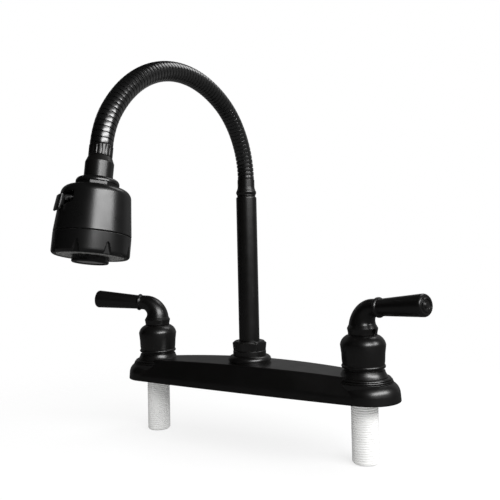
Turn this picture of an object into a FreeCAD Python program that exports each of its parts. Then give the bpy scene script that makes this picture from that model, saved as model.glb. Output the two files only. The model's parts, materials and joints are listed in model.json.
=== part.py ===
import FreeCAD, Part
import math
import os
import re

import Sketcher

# Two-handle kitchen mixer tap on an eight inch deck plate, with a bendable spout and a spray head.
# Millimetres. The origin is the middle of the deck plate's underside, +Z is up, the cold side is
# +X and the spout reaches towards -Y.

doc = FreeCAD.newDocument("kitchen_mixer_tap")

# Driving dimensions. Each row is a name and a size.
DRIVING_SIZES = [
    # fits
    ("fit_gap", 0.3),
    ("snug_gap", 0.1),
    ("running_gap", 0.05),
    ("seal_gap", 0.03),
    # deck plate
    ("hub_offset", 101.6),
    ("nose_offset", 3.0),
    ("nose_radius", 24.8),
    ("nose_draft", 0.5),
    ("nose_top_radius", 19.6),
    ("nose_height", 13.5),
    ("nose_curve", 9.5),
    ("deck_bow", 1.5),
    ("skirt_height", 6.0),
    ("crown_height", 21.6),
    ("crown_radius_long", 1340.0),
    ("ridge_height", 23.6),
    ("ridge_end", 90.0),
    ("ridge_end_radius", 12.5),
    ("ridge_bow", 8.9),
    ("deck_wall", 2.6),
    ("cavity_height", 14.6),
    ("hub_well_radius", 17.0),
    ("centre_well_length", 110.0),
    ("centre_well_width", 30.0),
    ("centre_well_height", 18.9),
    ("pedestal_radius", 22.3),
    ("pedestal_step", 14.3),
    ("pedestal_ring_radius", 21.8),
    ("pedestal_step_two", 15.7),
    ("pedestal_ring_two_radius", 20.9),
    ("pedestal_ring_top", 17.4),
    ("pedestal_groove", 0.4),
    ("pedestal_groove_depth", 0.8),
    ("gasket_thickness", 2.0),
    # valve bodies and their threaded tails
    ("tail_radius", 10.4),
    ("tail_bore", 6.5),
    ("tail_length", 48.0),
    ("tail_chamfer", 1.2),
    ("thread_pitch", 1.814),
    ("thread_depth", 0.75),
    ("thread_start", 3.0),
    ("thread_relief", 1.0),
    ("valve_flange_radius", 15.5),
    ("valve_flange_top", 5.5),
    ("valve_neck_radius", 12.5),
    ("valve_neck_top", 31.0),
    ("valve_bore", 9.6),
    ("valve_seat", 8.5),
    ("inlet_bore", 4.0),
    # crossover pipes between the valves and the spout tee
    ("pipe_height", 8.2),
    ("pipe_radius", 4.5),
    ("pipe_bore", 2.6),
    ("socket_radius", 5.9),
    ("socket_length", 8.0),
    ("pipe_ring_radius", 0.6),
    ("pipe_groove_depth", 1.2),
    ("pipe_groove_width", 1.6),
    # hubs
    ("hub_top", 49.0),
    ("hub_flare_radius", 18.3),
    ("hub_flare_top_radius", 16.2),
    ("hub_flare_top", 22.4),
    ("hub_groove_radius", 14.7),
    ("hub_groove_top", 24.0),
    ("hub_bead_radius", 16.6),
    ("hub_bead_top", 26.6),
    ("hub_waist_radius", 16.35),
    ("hub_waist_height", 28.8),
    ("hub_shoulder_radius", 17.45),
    ("hub_shoulder_height", 41.6),
    ("hub_top_radius", 11.4),
    ("hub_dome_radius", 9.2),
    ("hub_wall", 1.6),
    ("hub_cavity_start", 27.0),
    ("hub_cavity_top", 43.0),
    ("hub_stem_hole", 7.9),
    # cartridges
    ("cartridge_radius", 8.8),
    ("cartridge_bottom", 9.6),
    ("cartridge_bore", 7.4),
    ("cartridge_chamber_top", 27.0),
    ("cartridge_flange_radius", 11.8),
    ("cartridge_flange_height", 2.3),
    ("cartridge_neck_radius", 7.5),
    ("cartridge_neck_top", 44.5),
    ("window_bottom", 18.6),
    ("window_height", 6.0),
    ("window_width", 6.4),
    ("seat_seal_height", 2.5),
    ("seat_seal_wall", 2.8),
    ("disc_radius", 7.2),
    ("disc_thickness", 2.8),
    ("disc_port_radius", 4.6),
    ("stem_radius", 4.5),
    ("stem_foot_height", 2.0),
    ("stem_top", 56.0),
    ("spline_radius", 4.3),
    ("spline_length", 8.5),
    ("spline_teeth", 16),
    ("stem_ring_radius", 0.7),
    ("stem_ring_height", 38.0),
    ("stem_groove_width", 1.8),
    ("nut_skirt", 5.0),
    ("nut_skirt_wall", 1.3),
    ("nut_flats", 22.0),
    ("nut_head_height", 5.6),
    # levers
    ("lever_rest_angle", 23.0),
    ("lever_foot_radius", 11.15),
    ("lever_foot_height", 1.2),
    ("lever_edge_radius", 11.75),
    ("lever_edge_height", 4.2),
    ("lever_edge_band", 0.8),
    ("elbow_start_height", 7.2),
    ("elbow_start_radius", 10.5),
    ("elbow_bend", 13.7),
    ("elbow_turn", 85.0),
    ("elbow_end_radius", 6.7),
    ("lever_socket_depth", 7.2),
    ("bead_reach", 17.0),
    ("bead_radius", 7.8),
    ("bead_width", 2.6),
    ("grip_start_radius", 6.45),
    ("grip_end_radius", 8.15),
    ("tip_reach", 60.2),
    ("tip_length", 3.5),
    ("tip_ring_radius", 6.8),
    ("tip_dish_radius", 4.4),
    ("tip_button_radius", 2.9),
    ("tip_dish_depth", 0.9),
    ("set_screw_radius", 2.0),
    ("set_screw_length", 5.0),
    ("set_screw_height", 2.5),
    ("set_screw_key", 1.0),
    # spout foot
    ("tee_boss_radius", 11.0),
    ("tee_shoulder_radius", 13.5),
    ("tee_boss_top", 33.0),
    ("tee_chamber_radius", 6.0),
    ("tee_floor", 4.6),
    ("flange_radius", 18.4),
    ("flange_height", 5.7),
    ("flange_lip_height", 1.3),
    ("flange_lip_radius", 17.6),
    ("flange_curve", 4.0),
    ("spout_nut_collar_radius", 14.1),
    ("spout_nut_collar_height", 4.2),
    ("spout_nut_flats", 25.4),
    ("spout_nut_height", 7.8),
    ("spout_nut_chamfer", 1.3),
    ("spout_nut_turn", -4.0),
    ("bush_radius", 10.8),
    ("bush_height", 2.4),
    ("bush_groove_depth", 0.6),
    # spout tube
    ("spout_radius", 8.75),
    ("spout_bore", 6.5),
    ("spout_bottom", 13.0),
    ("spout_top", 162.4),
    ("spout_rounding", 1.2),
    ("spout_ring_radius", 0.675),
    ("spout_ring_low", 17.5),
    ("spout_ring_high", 23.0),
    ("spout_groove_depth", 1.35),
    ("spout_groove_width", 2.0),
    # ferrule between the tube and the hose
    ("ferrule_neck_radius", 7.9),
    ("ferrule_neck_height", 1.6),
    ("ferrule_bead_radius", 8.55),
    ("ferrule_bead_height", 4.2),
    ("ferrule_taper", 2.2),
    ("ferrule_radius", 7.3),
    ("ferrule_spigot", 12.0),
    ("ferrule_length", 14.6),
    # bendable hose and its arch
    ("rise_radius", 65.6),
    ("rise_turn", 62.6),
    ("crown_radius", 95.8),
    ("crown_turn", 83.6),
    ("fall_radius", 60.0),
    ("fall_turn", 25.2),
    ("hose_radius", 7.0),
    ("hose_valley", 0.7),
    ("hose_bore", 5.3),
    ("rib_count", 69),
    ("rib_crest_share", 0.68),
    ("liner_radius", 4.5),
    ("liner_bore", 3.1),
    ("liner_insert", 14.0),
    # hose end: fluted nut and swivel sleeve, measured down the head's axis from the hose's end
    ("end_nut_height", 7.3),
    ("end_nut_radius", 7.2),
    ("end_nut_flutes", 18),
    ("flute_radius", 1.0),
    ("flute_depth", 0.22),
    ("sleeve_cone_height", 3.8),
    ("sleeve_radius", 8.6),
    ("sleeve_end", 21.2),
    ("sleeve_bore", 4.9),
    ("ball_flange_radius", 10.7),
    ("ball_flange_height", 1.7),
    # spray head
    ("collar_radius", 12.9),
    ("collar_height", 6.0),
    ("collar_rounding", 2.6),
    ("collar_roof", 2.4),
    ("collar_flats", 24.6),
    ("collar_flat_height", 4.2),
    ("shell_top_radius", 15.5),
    ("shell_shoulder_radius", 20.6),
    ("shell_shoulder_height", 4.6),
    ("shell_shoulder_curve", 5.2),
    ("shell_height", 28.0),
    ("shell_bottom_radius", 22.75),
    ("shell_wall", 2.2),
    ("parting_gap", 0.3),
    ("grip_ring_height", 13.0),
    ("grip_ring_radius", 22.75),
    ("grip_ring_wall", 2.6),
    ("grip_ring_rounding", 2.0),
    ("notch_count", 8),
    ("notch_height", 7.0),
    ("notch_width", 5.4),
    ("notch_depth", 1.1),
    ("notch_first_angle", -20.0),
    ("spray_plate_thickness", 2.6),
    ("spray_plate_inset", 0.5),
    ("nozzle_circle", 17.6),
    ("nozzle_inner_circle", 14.2),
    ("nozzle_count", 24),
    ("nozzle_radius", 0.75),
    ("nozzle_height", 0.5),
    ("nozzle_bore", 0.4),
    ("core_neck_radius", 11.0),
    ("core_bore", 5.6),
    ("core_roof", 3.2),
    ("core_tube_radius", 8.6),
    ("core_floor_height", 4.5),
    ("washer_radius", 8.0),
    ("washer_thickness", 1.8),
    ("spool_length", 11.0),
    ("spool_place", 40.0),
    ("aerator_radius", 10.8),
    ("aerator_reach", 3.7),
    ("aerator_wall", 1.9),
    ("aerator_depth", 9.5),
    ("aerator_rounding", 0.9),
    ("screen_recess", 0.8),
    ("screen_thickness", 1.6),
    # mode tab on the head's shoulder
    ("tab_azimuth", -110.0),
    ("tab_angle", 20.0),
    ("tab_top", 7.1),
    ("tab_height", 10.0),
    ("tab_thickness", 2.3),
    ("tab_proud_top", 2.2),
    ("tab_proud_foot", 3.5),
    ("tab_foot_thickness", 1.2),
    ("tab_step", 7.0),
    ("tab_pocket_half", 10.4),
    ("tab_pocket_foot_half", 2.6),
    ("tab_pocket_side", 5.9),
    ("tab_pocket_depth", 5.8),
    ("tab_pocket_rim", 1.2),
    ("tab_pocket_height", 9.5),
    ("tab_patch_angle", 78.0),
    ("tab_pin_radius", 0.7),
    ("tab_lug_radius", 1.7),
    ("tab_lug_half", 5.5),
    ("tab_pin_drop", 2.1),
    ("tab_pin_depth", 3.8),
    ("tab_pin_bite", 0.6),
]

sizes = doc.addObject("Spreadsheet::Sheet", "sizes")
for row, (alias, number) in enumerate(DRIVING_SIZES, 1):
    sizes.set("A%d" % row, alias)
    sizes.set("B%d" % row, str(number))
    sizes.setAlias("B%d" % row, alias)
doc.recompute()

ALIASES = {alias for alias, number in DRIVING_SIZES}
NODES = []


def tied(text):
    """Writes a formula of bare size names as one that reads them from the sheet."""
    return re.sub(r"[a-z][a-z_]*", lambda word: "sizes." + word.group() if word.group() in ALIASES
                  else word.group(), str(text))


def size(text):
    """Works out a formula of size names as a plain number."""
    return float(sizes.evalExpression(tied(text)))


def bind(thing, path, text):
    """Ties one property of an object to a formula of the sheet's sizes."""
    thing.setExpression(path, tied(text))


def keep(thing, label):
    """Names a finished piece, which is written to its own file."""
    thing.Label = label
    NODES.append(thing)
    return thing


def new_body(name, x="0", y="0", z="0", tilt=None):
    """Makes an empty body whose place, and lean about X if it has one, are tied to the sheet."""
    body = doc.addObject("PartDesign::Body", name)
    if tilt is not None:
        body.Placement = FreeCAD.Placement(FreeCAD.Vector(), FreeCAD.Rotation(FreeCAD.Vector(-1, 0, 0), 1))
        bind(body, "Placement.Rotation.Angle", tilt)
    place(body, x, y, z)
    return body


def place(thing, x="0", y="0", z="0"):
    """Ties an object's place to formulas."""
    for axis, text in zip("xyz", (x, y, z)):
        bind(thing, "Placement.Base.%s" % axis, text)


def new_sketch(body, name, plane="XZ_Plane", turn=None, turn_axis=(0, 1, 0), shift=None):
    """Puts a sketch on one of its body's own planes, turned and shifted by formulas where given."""
    sketch = body.newObject("Sketcher::SketchObject", name)
    origin_plane = next(item for item in body.Origin.OriginFeatures if item.Role == plane)
    sketch.AttachmentSupport = [(origin_plane, "")]
    sketch.MapMode = "FlatFace"
    if turn is not None:
        start = FreeCAD.Rotation(FreeCAD.Vector(*turn_axis), 1)
        sketch.AttachmentOffset = FreeCAD.Placement(FreeCAD.Vector(), start)
        bind(sketch, "AttachmentOffset.Rotation.Angle", turn)
    if shift is not None:
        for axis, text in zip("xyz", shift):
            bind(sketch, "AttachmentOffset.Base.%s" % axis, text)
    return sketch


def pin(sketch, geometry, point, x, y):
    """Holds one end of a sketch line at a place given by two formulas."""
    for kind, text in (("DistanceX", x), ("DistanceY", y)):
        index = sketch.addConstraint(Sketcher.Constraint(kind, -1, 1, geometry, point, size(text)))
        bind(sketch, "Constraints[%d]" % index, text)


def draw_outline(sketch, corners):
    """Draws a closed outline. A corner is (x, y), or (x, y, radius) where an arc leaves it for the
    next corner: a positive radius turns left along the way, a negative one turns right."""
    places = [FreeCAD.Vector(size(corner[0]), size(corner[1]), 0) for corner in corners]
    first = sketch.GeometryCount
    count = len(corners)
    for index, corner in enumerate(corners):
        start = places[index]
        end = places[(index + 1) % count]
        if len(corner) == 2:
            sketch.addGeometry(Part.LineSegment(start, end))
            continue
        radius = abs(size(corner[2]))
        side = math.copysign(1, size(corner[2]))
        chord = end - start
        rise = math.sqrt(max(radius ** 2 - (chord.Length / 2) ** 2, 0))
        left = FreeCAD.Vector(-chord.y, chord.x, 0).normalize()
        centre = start + chord * 0.5 + left * (rise * side)
        middle = centre - left * (radius * side)
        # A sketch keeps every arc anticlockwise, so one that turns right is drawn from its far end.
        ends = (start, end) if side > 0 else (end, start)
        sketch.addGeometry(Part.Arc(ends[0], middle, ends[1]))
    for index, corner in enumerate(corners):
        geometry = first + index
        following = first + (index + 1) % count
        curve = sketch.Geometry[geometry]
        ends = {1: curve.StartPoint, 2: curve.EndPoint}
        near = min(ends, key=lambda end: ends[end].distanceToPoint(places[index]))
        pin(sketch, geometry, near, corner[0], corner[1])
        after = sketch.Geometry[following]
        after_ends = {1: after.StartPoint, 2: after.EndPoint}
        goal = places[(index + 1) % count]
        meeting = min(after_ends, key=lambda end: after_ends[end].distanceToPoint(goal))
        sketch.addConstraint(Sketcher.Constraint("Coincident", geometry, 3 - near, following, meeting))
        if len(corner) > 2:
            held = sketch.addConstraint(Sketcher.Constraint("Radius", geometry, abs(size(corner[2]))))
            bind(sketch, "Constraints[%d]" % held, "abs(%s)" % corner[2])
    return sketch


def draw_circle(sketch, radius, x="0", y="0"):
    """Draws a circle of a tied radius about a tied centre."""
    centre = FreeCAD.Vector(size(x), size(y), 0)
    geometry = sketch.addGeometry(Part.Circle(centre, FreeCAD.Vector(0, 0, 1), size(radius)))
    pin(sketch, geometry, 3, x, y)
    held = sketch.addConstraint(Sketcher.Constraint("Radius", geometry, size(radius)))
    bind(sketch, "Constraints[%d]" % held, radius)
    return sketch


def draw_polygon(sketch, flats, sides, turn="0"):
    """Draws a regular polygon, its distance across flats and its turn tied to the sheet."""
    corner = "(%s) / 2 / cos(180 / %s)" % (flats, sides)
    points = []
    for index in range(int(size(sides))):
        angle = "(%s + %s * 360 / %s)" % (turn, index + 0.5, sides)
        points.append(("%s * cos(%s)" % (corner, angle), "%s * sin(%s)" % (corner, angle)))
    return draw_outline(sketch, points)


def add_feature(body, kind, name, sketch, **settings):
    """Adds one feature made from a sketch to a body, as its newest step."""
    feature = body.newObject("PartDesign::" + kind, name)
    feature.Profile = sketch
    sketch.Visibility = False
    for key, value in settings.items():
        setattr(feature, key, value)
    return feature


def revolve(body, name, corners, kind="Revolution", turn=None, angle=None, axis="V_Axis", **place_of_sketch):
    """Turns a profile about the body's own axis, all round or through a tied angle."""
    sketch = draw_outline(new_sketch(body, name + "_profile", turn=turn, **place_of_sketch), corners)
    feature = add_feature(body, kind, name, sketch, ReferenceAxis=(sketch, [axis]))
    if angle is None:
        feature.Angle = 360
    else:
        bind(feature, "Angle", angle)
        feature.Midplane = True
    return feature


def pad(body, name, sketch, length, kind="Pad", **settings):
    """Pushes a sketch straight out by a tied length, or cuts it away as a pocket."""
    feature = add_feature(body, kind, name, sketch, **settings)
    bind(feature, "Length", length)
    return feature


def turned(label, corners, x="0", y="0", z="0", tilt=None):
    """Makes a whole piece that is one turned profile."""
    body = new_body(label, x, y, z, tilt)
    revolve(body, label + "_turning", corners)
    return keep(body, label)


def cylinder(name, radius, height, x="0", y="0", z="0", along=None):
    """Makes a plain cylinder as a tool for a boolean, standing or lying along X or Y."""
    tool = doc.addObject("Part::Cylinder", name)
    bind(tool, "Radius", radius)
    bind(tool, "Height", height)
    if along == "X":
        tool.Placement = FreeCAD.Placement(FreeCAD.Vector(), FreeCAD.Rotation(FreeCAD.Vector(0, 1, 0), 90))
    place(tool, x, y, z)
    return tool


def box(name, length, width, height, x, y, z):
    """Makes a plain box as a tool for a boolean, centred on x and y, with its floor at z."""
    tool = doc.addObject("Part::Box", name)
    bind(tool, "Length", length)
    bind(tool, "Width", width)
    bind(tool, "Height", height)
    place(tool, "%s - (%s) / 2" % (x, length), "%s - (%s) / 2" % (y, width), z)
    return tool


def torus(label, ring_radius, wire_radius, x="0", y="0", z="0"):
    """Makes a rubber ring."""
    ring = doc.addObject("Part::Torus", label)
    bind(ring, "Radius1", ring_radius)
    bind(ring, "Radius2", wire_radius)
    place(ring, x, y, z)
    return ring


def fused(name, shapes):
    """Joins several solids into one."""
    joined = doc.addObject("Part::MultiFuse", name)
    joined.Shapes = shapes
    return joined


def cut(name, base, tool):
    """Takes one solid away from another."""
    result = doc.addObject("Part::Cut", name)
    result.Base = base
    result.Tool = tool
    return result


# Deck plate

def deck_outline(sketch, end, radius, bow, inset):
    """Draws the boat-shaped outline: bowed long sides and round ends, drawn in by an inset."""
    reach = end
    half = "(%s - (%s))" % (radius, inset)
    long_side = "((%s)^2 + (%s)^2) / (2 * (%s))" % (reach, bow, bow)
    return draw_outline(sketch, [
        ("-(%s)" % reach, "-" + half, long_side),
        (reach, "-" + half, half),
        ("%s + %s" % (reach, half), "0", half),
        (reach, half, long_side),
        ("-(%s)" % reach, half, half),
        ("-(%s) - %s" % (reach, half), "0", half),
    ])


NOSE_END = "(hub_offset + nose_offset)"


def deck_loft(body, name, low, high):
    """Joins two outlines of the plate with straight sides."""
    loft = add_feature(body, "AdditiveLoft", name, low)
    loft.Sections = [high]
    loft.Ruled = True
    high.Visibility = False


def deck_blank(name, inset, top, top_end, top_radius, top_bow):
    """Makes the plate's long form: a skirt with a slight draft and sides that lean in above it."""
    body = new_body(name)
    foot = deck_outline(new_sketch(body, name + "_foot", "XY_Plane"),
                        NOSE_END, "nose_radius", "deck_bow", inset)
    brim, low = [
        deck_outline(new_sketch(body, name + end, "XY_Plane", shift=("0", "0", "skirt_height")),
                     NOSE_END, "nose_radius - nose_draft", "deck_bow", inset)
        for end in ("_brim", "_low")]
    high = deck_outline(new_sketch(body, name + "_high", "XY_Plane", shift=("0", "0", top)),
                        top_end, top_radius, top_bow, inset)
    deck_loft(body, name + "_skirt", foot, brim)
    deck_loft(body, name + "_sides", low, high)
    return body


def make_deck_plate():
    """The cast cover: crowned ridge, round noses, a stepped pedestal under each hub, hollow below."""
    blank = deck_blank("deck_blank", "0", "ridge_height", "ridge_end", "ridge_end_radius", "ridge_bow")
    crown = new_sketch(blank, "crown_profile")
    ridge_drop = "crown_height - (crown_radius_long - sqrt(crown_radius_long^2 - 130^2))"
    draw_outline(crown, [
        ("-130", ridge_drop, "-crown_radius_long"),
        ("130", ridge_drop),
        ("130", "ridge_height + 5"),
        ("-130", "ridge_height + 5"),
    ])
    pad(blank, "crown_cut", crown, "80", kind="Pocket", Midplane=True)
    masses = [blank]
    hollows = []
    for side, sign in (("hot", "-"), ("cold", "")):
        hub_x = sign + "hub_offset"
        nose = new_body(side + "_nose", x="%s(hub_offset + nose_offset)" % sign)
        revolve(nose, side + "_nose_turning", [
            ("0", "0"),
            ("nose_radius", "0"),
            ("nose_radius - nose_draft", "skirt_height", "nose_curve"),
            ("nose_top_radius", "nose_height"),
            ("0", "nose_height"),
        ])
        pedestal = new_body(side + "_pedestal", x=hub_x)
        revolve(pedestal, side + "_pedestal_turning", [
            ("0", "skirt_height / 2"),
            ("pedestal_radius", "skirt_height / 2"),
            ("pedestal_radius", "pedestal_step"),
            ("pedestal_ring_radius - pedestal_groove_depth", "pedestal_step"),
            ("pedestal_ring_radius - pedestal_groove_depth", "pedestal_step + pedestal_groove"),
            ("pedestal_ring_radius", "pedestal_step + pedestal_groove", "1.2"),
            ("pedestal_ring_radius - 0.2", "pedestal_step_two"),
            ("pedestal_ring_two_radius - pedestal_groove_depth", "pedestal_step_two"),
            ("pedestal_ring_two_radius - pedestal_groove_depth", "pedestal_step_two + pedestal_groove"),
            ("pedestal_ring_two_radius", "pedestal_step_two + pedestal_groove", "1.6"),
            ("pedestal_ring_two_radius - 1", "pedestal_ring_top"),
            ("0", "pedestal_ring_top"),
        ])
        masses += [nose, pedestal]
        hollows.append(cylinder(side + "_hub_well", "hub_well_radius", "cavity_height + 1", x=hub_x, z="-1"))
        hollows.append(cylinder(side + "_neck_hole", "valve_neck_radius + fit_gap", "40", x=hub_x, z="-1"))
        hollows.append(cylinder(side + "_hub_seat", "hub_flare_radius + fit_gap", "40", x=hub_x,
                                z="pedestal_ring_top"))
    hollow = deck_blank("deck_hollow_blank", "deck_wall", "cavity_height",
                        "ridge_end", "nose_top_radius - 1", "ridge_bow / 2")
    hollows.append(hollow)
    hollows.append(box("centre_well", "centre_well_length", "centre_well_width",
                       "centre_well_height + 1", "0", "0", "-1"))
    hollows.append(cylinder("boss_hole", "tee_boss_radius + fit_gap", "40", z="-1"))
    solid = fused("deck_solid", masses)
    inside = fused("deck_inside", hollows)
    keep(cut("deck_plate_cast", solid, inside), "deck_plate")


def make_deck_gasket():
    """The soft sheet that fills the plate's underside, flush with its rim, with a hole for each tail."""
    body = new_body("deck_gasket_body")
    sheet = deck_outline(new_sketch(body, "gasket_outline", "XY_Plane"), NOSE_END,
                         "nose_radius - nose_draft", "deck_bow", "deck_wall + fit_gap")
    for sign in ("-", ""):
        draw_circle(sheet, "tail_radius + fit_gap", sign + "hub_offset")
    pad(body, "gasket_sheet", sheet, "gasket_thickness")
    keep(body, "deck_gasket")


# Valves, one on each side

FLANGE_TOP = "(valve_neck_top + cartridge_flange_height)"
DISC_FLOOR = "(valve_seat + seat_seal_height)"
STEM_FOOT = "(valve_seat + seat_seal_height + 2 * disc_thickness)"


def make_valve_body(side, sign):
    """White moulded body: threaded tail below, neck above, and a socket for the crossover pipe."""
    hub_x = sign + "hub_offset"
    body = new_body(side + "_valve_blank", x=hub_x)
    revolve(body, side + "_valve_turning", [
        ("tail_bore", "-tail_length"),
        ("tail_radius - tail_chamfer", "-tail_length"),
        ("tail_radius", "-tail_length + tail_chamfer"),
        ("tail_radius", "-thread_relief"),
        ("tail_radius - thread_depth", "-thread_relief"),
        ("tail_radius - thread_depth", "gasket_thickness"),
        ("valve_flange_radius", "gasket_thickness"),
        ("valve_flange_radius", "valve_flange_top"),
        ("valve_neck_radius", "valve_flange_top"),
        ("valve_neck_radius", "valve_neck_top"),
        ("valve_bore", "valve_neck_top"),
        ("valve_bore", "valve_seat"),
        ("inlet_bore", "valve_seat"),
        ("inlet_bore", "valve_flange_top - 1"),
        ("tail_bore", "valve_flange_top - 2.5"),
    ])
    first_groove = "(-thread_start - thread_pitch / 2)"
    groove = revolve(body, side + "_thread", [
        ("tail_radius + 0.2", first_groove + " + thread_pitch * 0.36"),
        ("tail_radius - thread_depth", first_groove),
        ("tail_radius + 0.2", first_groove + " - thread_pitch * 0.36"),
    ], kind="Groove")
    doc.recompute()
    pattern = body.newObject("PartDesign::LinearPattern", side + "_threads")
    pattern.Originals = [groove]
    pattern.Direction = (groove.Profile[0], ["V_Axis"])
    pattern.Reversed = True
    turns = "floor((tail_length - thread_start - tail_chamfer) / thread_pitch)"
    bind(pattern, "Occurrences", turns)
    bind(pattern, "Length", "thread_pitch * (%s - 1)" % turns)
    body.Tip = pattern
    inward = "" if sign == "-" else "-"
    # The socket boss reaches from the neck towards the spout.
    start = "valve_neck_radius - 2"
    boss_x = "%s + %s(%s)" % (hub_x, inward, start)
    boss_length = "socket_length + 2"
    if inward == "-":
        boss_x = "%s - (%s + %s)" % (hub_x, start, boss_length)
    boss = cylinder(side + "_valve_socket", "socket_radius", boss_length, boss_x, z="pipe_height", along="X")
    hollow_length = "socket_length"
    hollow_x = "%s + (valve_neck_radius)" % hub_x
    if inward == "-":
        hollow_x = "%s - (valve_neck_radius + %s)" % (hub_x, hollow_length)
    hollow = cylinder(side + "_valve_socket_bore", "pipe_radius + running_gap", hollow_length, hollow_x,
                      z="pipe_height", along="X")
    port_x = hub_x if inward == "" else "%s - valve_neck_radius - 1" % hub_x
    port = cylinder(side + "_valve_port", "pipe_bore", "valve_neck_radius + 1", port_x,
                    z="pipe_height + 1.8", along="X")
    joined = fused(side + "_valve_joined", [body, boss])
    chamber = cylinder(side + "_valve_chamber", "valve_bore", "valve_neck_top - valve_seat", hub_x, z="valve_seat")
    tools = fused(side + "_valve_tools", [hollow, port, chamber])
    keep(cut(side + "_valve_moulding", joined, tools), side + "_valve_body")


def make_crossover(side, sign):
    """Pipe from the valve's socket to the tee's socket, with a rubber ring in a groove at each end."""
    tee_face = "(tee_shoulder_radius + fit_gap)"
    valve_face = "(hub_offset - valve_neck_radius - fit_gap)"
    body = new_body(side + "_crossover_pipe", z="pipe_height")
    groove_floor = "(pipe_radius - pipe_groove_depth)"
    low = "(%s + socket_length / 2)" % tee_face
    high = "(%s - socket_length / 2)" % valve_face
    corners = [(tee_face, "pipe_bore"), (tee_face, "pipe_radius")]
    for middle in (low, high):
        corners += [
            ("%s - pipe_groove_width / 2" % middle, "pipe_radius"),
            ("%s - pipe_groove_width / 2" % middle, groove_floor),
            ("%s + pipe_groove_width / 2" % middle, groove_floor),
            ("%s + pipe_groove_width / 2" % middle, "pipe_radius"),
        ]
    corners += [(valve_face, "pipe_radius"), (valve_face, "pipe_bore")]
    if sign == "-":
        corners = [("-(%s)" % x, radius) for x, radius in corners]
    revolve(body, side + "_crossover_turning", corners, axis="H_Axis")
    keep(body, side + "_crossover_pipe")
    rings = []
    for name, middle in (("tee", low), ("valve", high)):
        ring = torus("%s_%s_ring" % (side, name), "pipe_radius + running_gap - seal_gap - pipe_ring_radius",
                     "pipe_ring_radius")
        ring.Placement = FreeCAD.Placement(FreeCAD.Vector(), FreeCAD.Rotation(FreeCAD.Vector(0, 1, 0), 90))
        place(ring, sign + middle, "0", "pipe_height")
        rings.append(ring)
    keep(fused(side + "_crossover_ring_pair", rings), side + "_crossover_rings")


def make_hub(side, sign):
    """Bell-shaped cover over the valve: flare, groove, bead, waist, shoulder and domed top."""
    inside = "(valve_neck_radius + fit_gap)"
    cavity = "(hub_waist_radius - hub_wall)"
    turned(side + "_hub", [
        (inside, "pedestal_ring_top"),
        ("hub_flare_radius", "pedestal_ring_top"),
        ("hub_flare_radius", "pedestal_ring_top + 0.6", "-9"),
        ("hub_flare_top_radius", "hub_flare_top"),
        ("hub_groove_radius", "hub_flare_top + 0.4"),
        ("hub_groove_radius", "hub_groove_top"),
        ("hub_bead_radius - 0.6", "hub_groove_top + 0.1", "1.4"),
        ("hub_bead_radius - 0.5", "hub_bead_top", "-6"),
        ("hub_waist_radius", "hub_waist_height", "-90"),
        ("hub_shoulder_radius", "hub_shoulder_height", "hub_dome_radius"),
        ("hub_top_radius", "hub_top"),
        ("hub_stem_hole", "hub_top"),
        ("hub_stem_hole", "hub_cavity_top + 2"),
        (cavity + " - 2", "hub_cavity_top"),
        (cavity, "hub_cavity_top - 2"),
        (cavity, "hub_cavity_start"),
        (inside, "hub_cavity_start - 1.2"),
    ], x=sign + "hub_offset")


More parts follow.
